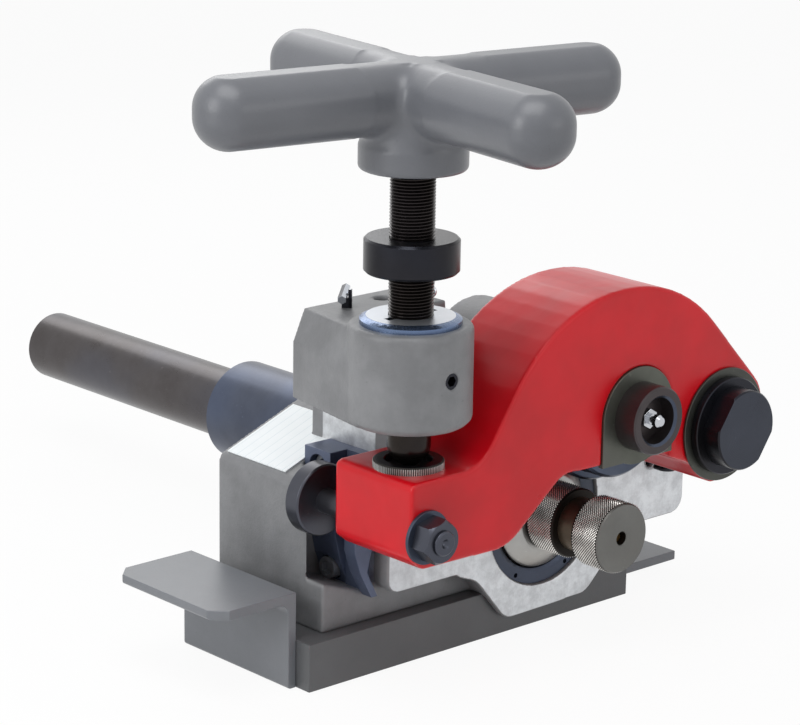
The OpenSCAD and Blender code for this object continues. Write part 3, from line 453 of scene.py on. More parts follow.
def steel(name, centre=None):
    # Turned steel where a centre is given, else rubbed steel with fine scratches
    label = name if centre is None else f"{name}_{alongOf(centre)}{centre[0]:.0f}_{centre[1]:.0f}"
    if label in madeFinishes:
        return madeFinishes[label]
    light, dark, tint, rough, metal = steels[name]
    look = steelLook
    finish = Finish(label)
    cloud, fine = finish.noise(*look["cloud"]), finish.noise(*look["fine"])
    colour = finish.between(0.5 + cloud.sway(look["contrast"]), dark, light)
    colour = finish.patched(colour, *look["tint"], tint)
    rubbed = [min(255, value * look["rubGain"] + look["rubLift"]) for value in light]
    colour = finish.patched(colour, *look["rub"], rubbed)
    rough = rough + cloud.sway(look["cloudRough"]) + fine.sway(look["fineRough"])
    if centre is None:
        place = finish.stretched(scratchLook["run"], turn=scratchLook["turn"])
        cut = finish.bump(finish.noise(*scratchLook["noise"], place), *scratchLook["bump"])
    else:
        cut = lathed(finish, centre)
    grain = finish.bump(fine, *look["fineBump"], cut)
    madeFinishes[label] = finish.shade(Base_Color=colour, Roughness=rough, Metallic=metal, Normal=grain)
    return madeFinishes[label]


# Centre, ramp of the crests in mm, dark tone, light tone and roughness
knurls = {
    "driveKnurl": (driveAxis, (23.42, 23.72), (40, 36, 33), (232, 229, 224), 0.24),
    "padKnurl": (screwAxis, (21.95, 22.3), (62, 60, 58), (196, 196, 194), 0.3),
}
knurlLook = dict(
    cloud=(60, 4, 0.6), cloudRamp=(0.35, 0.68), shade=0.72, cloudRough=0.14, valleyRough=0.3,
    fine=((900, 2, 0.6), (0.15, 0.00008)), metal=0.9)


def knurlFinish(name):
    # Bright crests over dark, oily valleys
    (centre, ramp, dark, light, rough), look = knurls[name], knurlLook
    finish = Finish(name)
    crest = finish.reach(centre).ramp(*ramp)
    cloud = finish.noise(*look["cloud"])
    worn = finish.between(cloud.ramp(*look["cloudRamp"]), light, [value * look["shade"] for value in light])
    colour = finish.blend(crest, tone(*dark), worn)
    rough = rough + cloud.sway(look["cloudRough"]) + (1 - crest) * look["valleyRough"]
    return finish.shade(Base_Color=colour, Roughness=rough, Metallic=look["metal"],
                        Normal=finish.grained(*look["fine"]))


rubberLook = dict(
    grain=(800, 3), dark=(24, 24, 25), light=(38, 38, 39), rough=0.6, grainRough=0.15, bump=(0.3, 0.0001))


def rubberFinish():
    look = rubberLook
    finish = Finish("sealRubber")
    grain = finish.noise(*look["grain"])
    colour = finish.between(grain, *picked(look, "dark light"))
    return finish.shade(Base_Color=colour, Roughness=look["rough"] + grain * look["grainRough"],
                        Normal=finish.bump(grain, *look["bump"]))


labelLook = dict(
    cloud=(60, 3), dark=(232, 238, 240), light=(244, 247, 248), pitch=7.6, rowRamp=(0.05, 0.02),
    rowShare=0.35, rowTone=(176, 196, 204), rough=0.38, cloudRough=0.1, bump=(0.1, 0.0002))


def labelFinish():
    # Blank white plate with faint ruled rows, worn a little
    look = labelLook
    finish = Finish("labelWhite")
    y = finish.spots()[1]
    cloud = finish.noise(*look["cloud"])
    row = ((y / look["pitch"]).maths("FRACT") - 0.5).maths("ABSOLUTE").ramp(*look["rowRamp"])
    colour = finish.between(cloud, *picked(look, "dark light"))
    colour = finish.blend(row * look["rowShare"], colour, tone(*look["rowTone"]))
    return finish.shade(Base_Color=colour, Roughness=look["rough"] + cloud * look["cloudRough"],
                        Normal=finish.bump(cloud, *look["bump"]))


castingPaint = castingFinish()
redPaint = redEnamel()
barPaint, railPaint, handlePaint = paint("barPaint"), paint("railPaint"), paint("handlePaint")
sealRubber = rubberFinish()
labelWhite = labelFinish()
driveKnurl, padKnurl = knurlFinish("driveKnurl"), knurlFinish("padKnurl")
black, zinc, bronze, bare = map(steel, ("blackOxide", "brightZinc", "oldBronze", "bareSteel"))
print("finishes mixed")


# Ways of making a piece. Lengths are in mm.

weld = dict(join=0.004, speck=0.002, flat=0.6, fineFlat=0.1)
sharp = dict(plain=34, cast=60, wire=50, thread=30, knurl=24, teeth=20)
evenWeight = 60


def adopt(mesh, name, node, material, angle="plain", extra=(), weighted=True):
    # Makes a mesh the piece that rides with its node's body and stands for it, the node being hidden
    if "custom_normal" in mesh.attributes:
        mesh.attributes.remove(mesh.attributes["custom_normal"])
    for each in (material, *extra):
        mesh.materials.append(each)
    mesh.shade_smooth()
    mesh.set_sharp_from_angle(angle=math.radians(sharp[angle]))
    piece = linked(name, mesh)
    if weighted:
        even = piece.modifiers.new("even", "WEIGHTED_NORMAL")
        even.keep_sharp = True
        even.weight = evenWeight
    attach(piece, bodyOf[node])
    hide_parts(node)


def written(shape, name):
    mesh = bpy.data.meshes.new(name)
    shape.to_mesh(mesh)
    shape.free()
    return mesh


def finishMesh(shape, name, node, material, *angle, **looks):
    adopt(written(shape, name), name, node, material, *angle, **looks)


def weldedCopy(node, flat=weld["flat"]):
    # A copy of a CAD node with its loose triangles joined and its flat faces made whole
    shape = bmesh.new()
    shape.from_mesh(frame["nodes"][node].data)
    bmesh.ops.remove_doubles(shape, verts=shape.verts, dist=weld["join"] * mm)
    bmesh.ops.dissolve_degenerate(shape, edges=shape.edges, dist=weld["speck"] * mm)
    bmesh.ops.dissolve_limit(shape, angle_limit=math.radians(flat), verts=shape.verts, edges=shape.edges)
    for face in shape.faces:
        face.material_index = 0
    return shape


def vertsOf(geom):
    return [each for each in geom if isinstance(each, bmesh.types.BMVert)]


def edgesOf(geom):
    return [each for each in geom if isinstance(each, bmesh.types.BMEdge)]


def outward(shape):
    bmesh.ops.recalc_face_normals(shape, faces=shape.faces)


def closeHoles(shape):
    bmesh.ops.holes_fill(shape, edges=[edge for edge in shape.edges if edge.is_boundary], sides=0)


def cutOff(shape, point, aim):
    # Takes away what lies beyond the point on the side that aim shows
    bmesh.ops.bisect_plane(shape, geom=[*shape.verts, *shape.edges, *shape.faces],
                           plane_co=Vector(point) * mm, plane_no=aim, clear_outer=True)


def turnedPlace(spot, degrees, axis):
    return Matrix.Translation(Vector(spot) * mm) @ Matrix.Rotation(math.radians(degrees), 4, axis)


def addBar(shape, radius, length, segments, place):
    # A round or many-sided bar about the Z axis of place
    bmesh.ops.create_cone(shape, cap_ends=True, segments=segments, radius1=radius * mm, radius2=radius * mm,
                          depth=length * mm, matrix=place)


def rounded(shape, edges, width, segments):
    bmesh.ops.bevel(shape, geom=edges, offset=width * mm, offset_type="OFFSET", segments=segments,
                    profile=0.5, affect="EDGES", clamp_overlap=True, material=-1)


def easeEdges(shape, width, segments=2, angle=30):
    # Rounds the edges that turn by more than angle
    rounded(shape, [edge for edge in shape.edges if len(edge.link_faces) == 2
                    and math.degrees(edge.calc_face_angle(0)) > angle], width, segments)


def easedPiece(node, material, width, segments=2, angle=30):
    shape = weldedCopy(node)
    easeEdges(shape, width, segments, angle)
    finishMesh(shape, node + "Skin", node, material)


def evaluated(working):
    # The mesh of an object with its modifiers, which then goes
    bpy.context.view_layer.update()
    graph = bpy.context.evaluated_depsgraph_get()
    mesh = bpy.data.meshes.new_from_object(working.evaluated_get(graph))
    bpy.data.objects.remove(working)
    return mesh


def remeshed(shape, skin):
    # A closed shape cast again in one soft skin
    bmesh.ops.triangulate(shape, faces=shape.faces)
    working = linked("working", written(shape, "working"))
    cast = working.modifiers.new("skin", "REMESH")
    cast.mode = "VOXEL"
    cast.voxel_size = skin["voxel"] * mm
    working.modifiers.new("soft", "SMOOTH").iterations = skin["smooth"]
    if skin["ratio"] < 1:
        working.modifiers.new("fewer", "DECIMATE").ratio = skin["ratio"]
    return evaluated(working)


def joinShape(shape, other):
    mesh = written(other, "joined")
    shape.from_mesh(mesh)
    bpy.data.meshes.remove(mesh)


def pulled(corners, run):
    # A closed bar: a flat end with these corners, and the same end moved by run
    shape = bmesh.new()
    end = shape.faces.new([shape.verts.new(Vector(corner) * mm) for corner in corners])
    made = bmesh.ops.extrude_face_region(shape, geom=[end])["geom"]
    bmesh.ops.translate(shape, vec=Vector(run) * mm, verts=vertsOf(made))
    outward(shape)
    return shape


def prism(points, front, back):
    # A bar along Y whose end has the given (x, z) corners
    return pulled([(x, front, z) for x, z in points], (0, back - front, 0))


def carved(shape, cutter):
    # The shape less the cutter
    working, tool = (linked("working", written(each, "working")) for each in (shape, cutter))
    cut = working.modifiers.new("cut", "BOOLEAN")
    cut.operation = "DIFFERENCE"
    cut.solver = "EXACT"
    cut.object = tool
    result = bmesh.new()
    result.from_mesh(evaluated(working))
    bpy.data.objects.remove(tool)
    return result


def chained(shape, spots):
    verts = [shape.verts.new(Vector(spot) * mm) for spot in spots]
    return verts + [shape.edges.new(pair) for pair in zip(verts, verts[1:])]


def spun(shape, points, centre, steps=96):
    # Turns a chain of (radius, distance) points about the axis through centre
    if alongOf(centre) == "Z":
        spots = [(centre[0] + radius, centre[1], reach) for radius, reach in points]
        middle, axis = (*centre, 0), (0, 0, 1)
    else:
        spots = [(centre[0] + radius, reach, centre[1]) for radius, reach in points]
        middle, axis = (centre[0], 0, centre[1]), (0, 1, 0)
    before = set(shape.verts)
    bmesh.ops.spin(shape, geom=chained(shape, spots), cent=Vector(middle) * mm, axis=axis,
                   angle=math.tau, steps=steps, use_merge=True)
    made = [vert for vert in shape.verts if vert not in before]
    bmesh.ops.remove_doubles(shape, verts=made, dist=weld["speck"] * mm)
    return [vert for vert in made if vert.is_valid]


def awayFrom(centre, spot):
    # How far a point (mm) is from an axis along Y
    return math.hypot(spot.x - centre[0], spot.z - centre[1])


def markFaces(shape, chooses):
    # The second finish goes on the faces that chooses() picks
    for face in shape.faces:
        face.material_index = int(chooses(face.calc_center_median() / mm, face.normal))


# Base bar and rails

baseEase = dict(bar=1.0, rail=0.7, screws=0.3, segments=3, angle=38)
rightRail = dict(
    inner=145, outer=208.6, low=8, thick=6.5, high=72, run=(-47, 60), root=7, rootSegments=8, near=0.1)


def makeBase():
    ease = baseEase
    easedPiece("base_bar", barPaint, ease["bar"], ease["segments"], ease["angle"])
    easedPiece("left_rail_angle", railPaint, ease["rail"], ease["segments"], ease["angle"])
    # The right rail is bolted on the other way up, its flange low
    rail = rightRail
    inner, outer, low, high, near = picked(rail, "inner outer low high near")
    web, top = inner + rail["thick"], low + rail["thick"]
    shape = prism([(inner, low), (outer, low), (outer, top), (web, top), (web, high), (inner, high)],
                  *rail["run"])
    root = [edge for edge in shape.edges if all(
        abs(vert.co.x / mm - web) < near and abs(vert.co.z / mm - top) < near for vert in edge.verts)]
    rounded(shape, root, rail["root"], rail["rootSegments"])
    easeEdges(shape, ease["rail"], ease["segments"], ease["angle"])
    finishMesh(shape, "rightRail", "right_rail_angle", railPaint)
    easedPiece("base_screws", black, ease["screws"], 2, ease["angle"])


makeBase()
print("base made")


# Castings

castSkin = dict(voxel=1.3, smooth=3, ratio=0.42)
neckCheek = dict(
    foot=[(-130, -24), (-143.7, -101.5), (-126, -108), (-95, -66), (-95, -24)], low=184, high=241,
    bevelAt=(-130, -24, 221), bevelAim=(-0.898, 0.159, 0.41))
pocketFloor = dict(outline=[(-124.6, 48), (-86, 48), (-86, 53), (-92, 54), (-124.6, 65)], run=(-48.8, -7))


def makeFrameCasting():
    shape = weldedCopy("frame_casting", weld["fineFlat"])
    # The neck's left cheek runs straight on to the boss, with a long bevel above
    neck = neckCheek
    cheek = pulled([(x, y, neck["low"]) for x, y in neck["foot"]], (0, 0, neck["high"] - neck["low"]))
    cutOff(cheek, neck["bevelAt"], neck["bevelAim"])
    closeHoles(cheek)
    outward(cheek)
    joinShape(shape, cheek)
    joinShape(shape, prism(pocketFloor["outline"], *pocketFloor["run"]))
    adopt(remeshed(shape, castSkin), "frameCasting", "frame_casting", castingPaint, "cast", weighted=False)


handleSkin = dict(voxel=1.15, smooth=2, ratio=1, low=357, core=16, blend=46, passes=60, factor=0.6)
handleFit = dict(
    solid=137, real=127.5, inner=30, middle=386, squash=22.4 / 25, hub=350, under=361, turned=7, turn=-2.3)


def fitHandle(shape):
    # Draws the arms in to the photograph's length and thickness, and turns the cross a little
    fit = handleFit
    centre = Vector((*screwAxis, 0)) * mm
    turned = Matrix.Rotation(math.radians(fit["turned"]), 3, "Z")
    back = Matrix.Rotation(math.radians(fit["turn"] - fit["turned"]), 3, "Z")
    inner, middle, hub = picked(fit, "inner middle hub")
    share = (fit["real"] - inner) / (fit["solid"] - inner)
    under = middle + (fit["under"] - middle) * fit["squash"]
    for vert in shape.verts:
        spot = turned @ (vert.co - centre) / mm
        for side in (0, 1):
            if abs(spot[side]) > max(inner, abs(spot[1 - side])):
                spot[side] = math.copysign(inner + (abs(spot[side]) - inner) * share, spot[side])
        if spot.z > fit["under"]:
            spot.z = middle + (spot.z - middle) * fit["squash"]
        elif spot.z > hub:
            spot.z = hub + (spot.z - hub) * (under - hub) / (fit["under"] - hub)
        vert.co = centre + back @ spot * mm


def makeHandle():
    skin = handleSkin
    shape = weldedCopy("cross_handle", weld["fineFlat"])
    bmesh.ops.triangulate(shape, faces=shape.faces)
    fitHandle(shape)
    mesh = remeshed(shape, skin)
    shape = bmesh.new()
    shape.from_mesh(mesh)
    # The arms' roots flow into each other
    axis = Vector(screwAxis)
    soft = [vert for vert in shape.verts if vert.co.z / mm > skin["low"]
            and skin["core"] < (vert.co.xy / mm - axis).length < skin["blend"]]
    for _ in range(skin["passes"]):
        bmesh.ops.smooth_vert(shape, verts=soft, factor=skin["factor"], use_axis_x=True, use_axis_y=True,
                              use_axis_z=True)
    finishMesh(shape, "crossHandle", "cross_handle", handlePaint, "cast", weighted=False)


armSkin = dict(voxel=1.2, smooth=5, ratio=0.5)
armChin = dict(
    outline=[(84, 133.4), (112, 122), (127, 114.5), (137, 104), (138, 92), (84, 92)], run=(-150, -60))


def makeArm():
    shape = weldedCopy("swing_arm", weld["fineFlat"])
    shape = carved(shape, prism(armChin["outline"], *armChin["run"]))
    adopt(remeshed(shape, armSkin), "swingArm", "swing_arm", redPaint, "cast", weighted=False)


makeFrameCasting()
makeHandle()
makeArm()
print("castings made")


# Threads and knurls

feedThread = dict(
    root=12.9, crest=14.0, pitch=2.0, crestFrom=0.38, crestTo=0.62, steps=28, low=190.5, high=383,
    end=155.6, plain=13.7, runOut=1.4, overlap=0.2, round=64, domeStep=9)


def makeFeedScrew():
    rod = feedThread
    shape = bmesh.new()
    pitch, root, crest, plain = picked(rod, "pitch root crest plain")
    start = rod["low"] - pitch
    profile = [(root, 0), (crest, rod["crestFrom"] * pitch), (crest, rod["crestTo"] * pitch), (root, pitch)]
    geom = chained(shape, [(screwAxis[0] + radius, screwAxis[1], start + reach) for radius, reach in profile])
    turns = math.ceil((rod["high"] - rod["low"]) / pitch) + 2
    bmesh.ops.spin(shape, geom=geom, cent=Vector((*screwAxis, 0)) * mm, axis=(0, 0, 1),
                   dvec=(0, 0, pitch * mm / rod["steps"]), angle=math.tau * turns, steps=rod["steps"] * turns)
    bmesh.ops.remove_doubles(shape, verts=shape.verts, dist=weld["join"] * mm)
    cutOff(shape, (0, 0, rod["low"]), (0, 0, -1))
    cutOff(shape, (0, 0, rod["high"]), (0, 0, 1))
    closeHoles(shape)
    # The plain end below, with a round tip
    dome = [(plain * math.sin(turn), rod["end"] + plain * (1 - math.cos(turn)))
            for turn in map(math.radians, range(0, 91, rod["domeStep"]))]
    top = rod["low"] + rod["overlap"]
    spun(shape, [*dome, (plain, rod["low"] - rod["runOut"]), (root, top), (0, top)],
         screwAxis, rod["round"])
    outward(shape)
    finishMesh(shape, "feedScrewThread", "feed_screw", steel("screwBlack", screwAxis), "thread", weighted=False)


driveRoll = dict(
    front=-137.1, band=24, gap=17, radius=24.1, root=23.35, groove=18, around=74, along=12, hole=4.5,
    deep=14, lip=0.6, bore=11.04, bevel=1.0, nose=0.7, shoulder=0.6, grooveSkin=0.5, weld=0.01)


def knurlBand(shape, roll, front, back):
    # A band of pointed diamonds: a grid is poked, its own edges go, and each diamond is poked outwards
    step = (back - front) / roll["along"]
    before = set(shape.faces)
    made = spun(shape, [(roll["root"], front + step * index) for index in range(roll["along"] + 1)],
                driveAxis, roll["around"])
    faces = {face for vert in made for face in vert.link_faces}
    gridEdges = {edge for face in faces for edge in face.edges if len(edge.link_faces) == 2}
    bmesh.ops.poke(shape, faces=list(faces))
    bmesh.ops.dissolve_edges(shape, edges=list(gridEdges), use_verts=False)
    diamonds = [face for face in shape.faces if face not in before and len(face.verts) == 4]
    crests = bmesh.ops.poke(shape, faces=diamonds)["verts"]
    centre = Vector((driveAxis[0], 0, driveAxis[1])) * mm
    for vert in crests:
        arm = Vector((vert.co.x, 0, vert.co.z)) - centre
        vert.co += arm * (roll["radius"] * mm / arm.length - 1)
    print(f"knurl band with {len(crests)} points")


def makeDriveRoll():
    roll = driveRoll
    shape = bmesh.new()
    front, root, groove, hole, bevel = picked(roll, "front root groove hole bevel")
    first = front + roll["band"]
    second = first + roll["gap"]
    back = second + roll["band"]
    edge = root - bevel * roll["shoulder"]
    for points in ([(hole, front + roll["deep"]), (hole, front + roll["lip"]), (hole + roll["lip"], front),
                    (root - bevel * roll["nose"], front), (root, front + bevel)],
                   [(root, first - bevel), (edge, first), (groove, first), (groove, second), (edge, second),
                    (root, second + bevel)],
                   [(root, back - bevel), (edge, back), (roll["bore"], back)]):
        spun(shape, points, driveAxis, roll["around"])
    plain = set(shape.faces)
    knurlBand(shape, roll, front + bevel, first - bevel)
    knurlBand(shape, roll, second + bevel, back - bevel)
    for face in shape.faces:
        middle = face.calc_center_median() / mm
        if face not in plain:
            face.material_index = 0
        elif first < middle.y < second and awayFrom(driveAxis, middle) < groove + roll["grooveSkin"]:
            face.material_index = 1
        elif middle.y < front + bevel:
            face.material_index = 2
    bmesh.ops.remove_doubles(shape, verts=shape.verts, dist=roll["weld"] * mm)
    outward(shape)
    others = steel("grooveSteel", driveAxis), steel("faceSteel", driveAxis)
    finishMesh(shape, "knurledDriveRoll", "drive_roll", driveKnurl, "knurl", others, weighted=False)


padRim = dict(
    low=153.5, high=159.8, radius=22.36, teeth=100, cut=0.5, well=15, floor=155.5, lip=0.4, top=1.2,
    slope=0.9, near=0.1, skin=1.3)


def makePressurePad():
    pad = padRim
    shape = bmesh.new()
    low, high, radius, well, slope = picked(pad, "low high radius well slope")
    made = spun(shape, [(0, pad["floor"]), (well, pad["floor"]), (well, high - pad["lip"]),
                        (well + pad["lip"], high), (radius - pad["top"], high), (radius, high - slope),
                        (radius, low + slope), (radius - slope, low), (0, low)],
                screwAxis, 2 * pad["teeth"])
    # Every other line of the rim is drawn in
    centre = Vector(screwAxis) * mm
    for vert in made:
        arm = vert.co.xy - centre
        turn = round(math.atan2(arm.y, arm.x) / math.tau * 2 * pad["teeth"])
        if arm.length > (radius - pad["near"]) * mm and turn % 2:
            vert.co.xy = centre + arm * ((radius - pad["cut"]) / radius)
    outward(shape)
    markFaces(shape, lambda spot, normal: (spot.xy - Vector(screwAxis)).length <= radius - pad["skin"])
    finishMesh(shape, "knurledPad", "pressure_pad", padKnurl, "teeth", (steel("blackOxide", screwAxis),),
               weighted=False)


makeFeedScrew()
makeDriveRoll()
makePressurePad()
print("threads and knurls cut")


# Small pieces that are made here, then the rest, which keep their solids with eased edges

pivotBolt = dict(
    collar=33, collarFront=-147.8, head=27, front=-161.8, flats=48, flatTurn=145, shank=16, thread=12,
    seat=-66, end=-36, headEase=(0.9, 1.1), collarEase=(0.5, 0.6), flatEase=0.5, easeAngle=24, face=0.05)
pivotWasher = dict(radius=38.5, front=-142.3, back=-140.3, play=0.3, ease=(0.4, 0.3))


def makePivotBolt():
    # A round head with two flats, on a collar
    bolt, washer = pivotBolt, pivotWasher
    head, front, collar, collarFront = picked(bolt, "head front collar collarFront")
    inwards, along = bolt["headEase"]
    shape = bmesh.new()
    spun(shape, [(0, collarFront), (head, collarFront), (head, front + along), (head - inwards, front),
                 (0, front)], pivotAxis)
    for side in (0, 180):
        turn = math.radians(bolt["flatTurn"] + side)
        aim = Vector((math.cos(turn), 0, math.sin(turn)))
        cutOff(shape, Vector((pivotAxis[0], 0, pivotAxis[1])) + aim * bolt["flats"] / 2, aim)
        closeHoles(shape)
    easeEdges(shape, bolt["flatEase"], 2, bolt["easeAngle"])
    back, (small, large) = washer["front"], bolt["collarEase"]
    spun(shape, [(0, bolt["end"]), (bolt["thread"], bolt["end"]), (bolt["thread"], bolt["seat"]),
                 (bolt["shank"], bolt["seat"]), (bolt["shank"], back), (collar - small, back),
                 (collar, back - small), (collar, collarFront + large), (collar - large, collarFront),
                 (0, collarFront)], pivotAxis)
    outward(shape)
    markFaces(shape, lambda spot, normal: spot.y < front + bolt["face"])
    others = (steel("boltFace", pivotAxis),)
    finishMesh(shape, "pivotBolt", "pivot_bolt", steel("blackOxide", pivotAxis), extra=others)
    shape = bmesh.new()
    outer, low, high, inner = washer["radius"], washer["front"], washer["back"], bolt["shank"] + washer["play"]
    large, small = washer["ease"]
    spun(shape, [(inner, low), (outer - large, low), (outer, low + large), (outer, high - small),
                 (outer - small, high), (inner, high), (inner, low)], pivotAxis)
    outward(shape)
    finishMesh(shape, "pivotWasher", "pivot_washer", steel("washerSteel", pivotAxis))


gaugeHook = dict(
    at=(-100, -41, 241), turn=40, thick=3, ease=0.3, pegAt=(-101.2, -39.5, 249.8),
    pegAim=(0.749, 0.629, 0.208), peg=3.0, pegLong=18.4, pegEase=0.35,
    blocks=[((-3.2, 3.2), (-8, 6.3)), ((-3.2, -0.9), (0, 12))])


def makeGaugeHook():
    # A notched black post and the bright six-sided peg that lies in its notch
    hook = gaugeHook
    shape = bmesh.new()
    for (left, right), (low, high) in hook["blocks"]:
        made = bmesh.ops.create_cube(shape, size=1)["verts"]
        bmesh.ops.scale(shape, vec=Vector((hook["thick"], right - left, high - low)) * mm, verts=made)
        bmesh.ops.translate(shape, vec=Vector((0, (left + right) / 2, (low + high) / 2)) * mm, verts=made)
    bmesh.ops.transform(shape, matrix=turnedPlace(hook["at"], hook["turn"], "Z"), verts=shape.verts)
    easeEdges(shape, hook["ease"])
    plain = len(shape.faces)
    aim = Vector(hook["pegAim"]).to_track_quat("Z", "Y").to_matrix().to_4x4()
    addBar(shape, hook["peg"], hook["pegLong"], 6, Matrix.Translation(Vector(hook["pegAt"]) * mm) @ aim)
    shape.faces.ensure_lookup_table()
    peg = shape.faces[plain:]
    for face in peg:
        face.material_index = 1
    rounded(shape, list({edge for face in peg for edge in face.edges}), hook["pegEase"], 2)
    finishMesh(shape, "gaugeHook", "gauge_hook", black, extra=(zinc,))


rollSleeve = dict(
    shaft=15, back=-69, seat=-140.9, sleeve=22.6, front=-158.6, bore=15.4, floor=-146.6, ease=1, flare=1.6,
    flareDeep=2)
# The nipple's profile is (radius, distance) from its hexagon's face, then from its tip
nipple = dict(
    hex=6.93, high=4.5, tip=-160.6, ease=0.5, round=40,
    neck=[(0, 0.2), (3.6, 0.2), (3.6, -2), (2.6, -2.6), (2.6, -3.4), (4.2, -4.6)],
    cap=[(4.2, 1.7), (2.9, 0), (0, 0)])


def makeRollSleeve():
    roll = rollSleeve
    shaft, sleeve, bore, back, seat, front = picked(roll, "shaft sleeve bore back seat front")
    floor, ease, flare = picked(roll, "floor ease flare")
    shape = bmesh.new()
    spun(shape, [(0, back), (shaft - ease, back), (shaft, back - ease), (shaft, seat), (sleeve, seat),
                 (sleeve, front + ease), (sleeve - ease, front), (bore + flare, front), (bore, front + flare),
                 (bore, floor), (0, floor)], rollAxis)
    outward(shape)
    markFaces(shape, lambda spot, normal: bore < awayFrom(rollAxis, spot) < bore + flare
              and spot.y < front + roll["flareDeep"])
    finishMesh(shape, "rollSleeve", "roll_shaft", steel("sleeveBlack", rollAxis),
               extra=(steel("blueGrey", rollAxis),))
    shape = bmesh.new()
    base = floor - nipple["high"]
    addBar(shape, nipple["hex"], nipple["high"], 6,
           turnedPlace((rollAxis[0], (floor + base) / 2, rollAxis[1]), 90, "X"))
    easeEdges(shape, nipple["ease"])
    profile = [(radius, base + reach) for radius, reach in nipple["neck"]]
    profile += [(radius, nipple["tip"] + reach) for radius, reach in nipple["cap"]]
    spun(shape, profile, rollAxis, nipple["round"])
    outward(shape)
    finishMesh(shape, "greaseNipple", "grease_nipple", zinc)


guideLeg = dict(
    outline=[(-84, 52), (-89.4, 52), (-97, 71.5), (-106, 112), (-106, 145), (-84, 145)],
    foot=[(-86, 51), (-91.4, 51), (-101, 69), (-106, 84), (-106, 145), (-84, 145), (-84, 110), (-95, 69)],
    web=[(-84, 52), (-92, 52), (-92, 145), (-84, 145)], footRun=(-58, -47.25), webRun=(-47.25, -33.25),
    legRun=(-33.25, -8), ease=0.6)
# The lower screw moves from the solid's height to the photograph's, and both grow
legScrews = dict(
    y=-21, grow=1.25, split=108.5, low=(84, 63, 4.4), high=(133, 133, 1), sink=8.1, sinkAt=-106.5,
    sinkLong=40, round=48, ease=0.3)


def makeGuideLeg():
    # The slotted leg that the stud's disc runs in, and its two socket screws
    leg, screws = guideLeg, legScrews
    shape = prism(leg["outline"], *leg["legRun"])
    for _, level, _ in (screws["low"], screws["high"]):
        sink = bmesh.new()
        addBar(sink, screws["sink"], screws["sinkLong"], screws["round"],
               turnedPlace((screws["sinkAt"], screws["y"], level), 90, "Y"))
        shape = carved(shape, sink)
    easeEdges(shape, leg["ease"])
    foot = prism(leg["foot"], *leg["footRun"])
    easeEdges(foot, leg["ease"])
    joinShape(shape, foot)
    joinShape(shape, prism(leg["web"], *leg["webRun"]))
    # The leg's finish is painted lighter than its own blue-black, as painted light against the shade of its
    # pocket
    finishMesh(shape, "guideLeg", "guide_block", steel("legBlue"))
    shape = weldedCopy("guide_block_screws")
    for vert in shape.verts:
        spot = vert.co / mm
        old, new, shift = screws["low" if spot.z < screws["split"] else "high"]
        spot.x += shift
        spot.y = screws["y"] + (spot.y - screws["y"]) * screws["grow"]
        spot.z = new + (spot.z - old) * screws["grow"]
        vert.co = spot * mm
    easeEdges(shape, screws["ease"])
    # The screws' light grey is their own, painted lighter still to stand in for light in the pocket's shade
    finishMesh(shape, "guideLegScrews", "guide_block_screws", steel("screwHead"))


labelFit = dict(at=(-120.8, -7, 128.6), grow=(1.66, 1.2, 1.66), ease=0.15)


def makeLabel():
    shape = weldedCopy("label_plate")
    for vert in shape.verts:
        for side, (middle, grow) in enumerate(zip(labelFit["at"], labelFit["grow"])):
            vert.co[side] = (middle + (vert.co[side] / mm - middle) * grow) * mm
    easeEdges(shape, labelFit["ease"], 1)
    finishMesh(shape, "labelPlate", "label_plate", labelWhite)


springLeg = dict(
    at=(163.5, -66, 91), wire=2.1, around=14, buried=2, out=5, bend=6, steps=10, tail=(14, 0, 4))


def makeSpring():
    # The coil from the solid, and the bent end that hooks into the slab
    leg = springLeg
    x, y, z = leg["at"]
    shape = weldedCopy("return_spring", weld["fineFlat"])
    made = bmesh.ops.create_circle(shape, cap_ends=False, segments=leg["around"], radius=leg["wire"] * mm,
                                   matrix=turnedPlace((x, y + leg["buried"], z), 90, "X"))["verts"]
    run = bmesh.ops.extrude_edge_only(shape, edges=list({edge for vert in made for edge in vert.link_edges}))
    bmesh.ops.translate(shape, vec=(0, -(leg["out"] + leg["buried"]) * mm, 0), verts=vertsOf(run["geom"]))
    bent = bmesh.ops.spin(shape, geom=edgesOf(run["geom"]), axis=(0, 0, 1), angle=math.radians(90),
                          steps=leg["steps"], use_merge=False,
                          cent=Vector((x + leg["bend"], y - leg["out"], z)) * mm)
    run = bmesh.ops.extrude_edge_only(shape, edges=edgesOf(bent["geom_last"]))
    bmesh.ops.translate(shape, vec=Vector(leg["tail"]) * mm, verts=vertsOf(run["geom"]))
    closeHoles(shape)
    outward(shape)
    finishMesh(shape, "returnSpring", "return_spring", black, "wire")


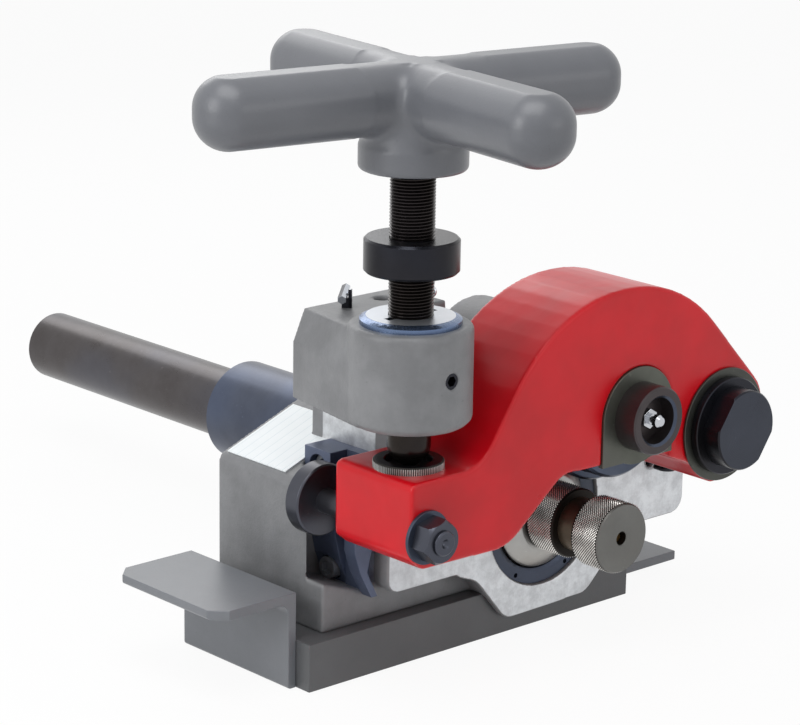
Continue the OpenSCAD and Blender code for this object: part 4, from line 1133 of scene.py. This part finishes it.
# Finish, width of the eased edge (0 on pieces that are round all over), and the pieces
smallPieces = [
    (black, 0.3, "nut_set_screw"), (zinc, 0, "eye_pin wire_ring"), (bare, 0.3, "pivot_spacer"),
    (bare, 0, "front_bearing_outer"), (zinc, 0, "front_bearing_balls"),
    (bare, 0, "front_bearing_inner rear_bearing_outer"), (zinc, 0, "rear_bearing_balls"),
    (bare, 0, "rear_bearing_inner"), (steel("blueBlack", driveAxis), 0.3, "bearing_retainer"),
    (sealRubber, 0.3, "rear_seal"), (bare, 0.2, "drive_key"), (bronze, 0.4, "draw_bolt"),
    (steel("sleeveSteel", driveAxis), 0.4, "shaft_sleeve"), (black, 0.3, "sleeve_set_screw"),
    (bronze, 0.2, "pivot_bush"), (steel("keeperSteel"), 0.5, "shaft_keeper"),
    (steel("nutSteel", studAxis), 0.3, "guide_stud"), (steel("blueBlack", studAxis), 0.4, "stud_washer"),
    (steel("nutSteel", studAxis), 0.4, "stud_nut"), (steel("blueGrey", rollAxis), 0.4, "groove_roll"),
    (bronze, 0.2, "roll_bushing"), (steel("blackOxide", screwAxis), 0.4, "depth_collar"),
    (black, 0.2, "collar_set_screw"), (black, 0.3, "hub_set_screw"),
]
nutFit = dict(ease=0.3, above=250, level=0.95)
shaftFit = dict(ease=0.4, bareFrom=-55)


def splitPiece(node, main, other, width, chooses):
    # One solid in two finishes
    shape = weldedCopy(node)
    easeEdges(shape, width)
    shape.normal_update()
    markFaces(shape, chooses)
    finishMesh(shape, node + "Skin", node, main, extra=(other,))


def makeSmallPieces():
    splitPiece("feed_nut", steel("nutRim", screwAxis), steel("nutTop", screwAxis), nutFit["ease"],
               lambda spot, normal: spot.z > nutFit["above"] and normal.z > nutFit["level"])
    splitPiece("drive_shaft", steel("shaftSteel", driveAxis), steel("bareSteel", driveAxis),
               shaftFit["ease"], lambda spot, normal: spot.y < shaftFit["bareFrom"])
    for make in (makePivotBolt, makeGaugeHook, makeRollSleeve, makeGuideLeg, makeLabel, makeSpring):
        make()
    for material, width, nodes in smallPieces:
        for node in nodes.split():
            if width:
                easedPiece(node, material, width)
            else:
                finishMesh(weldedCopy(node, weld["fineFlat"]), node + "Skin", node, material, "wire")


makeSmallPieces()
print("small pieces made")
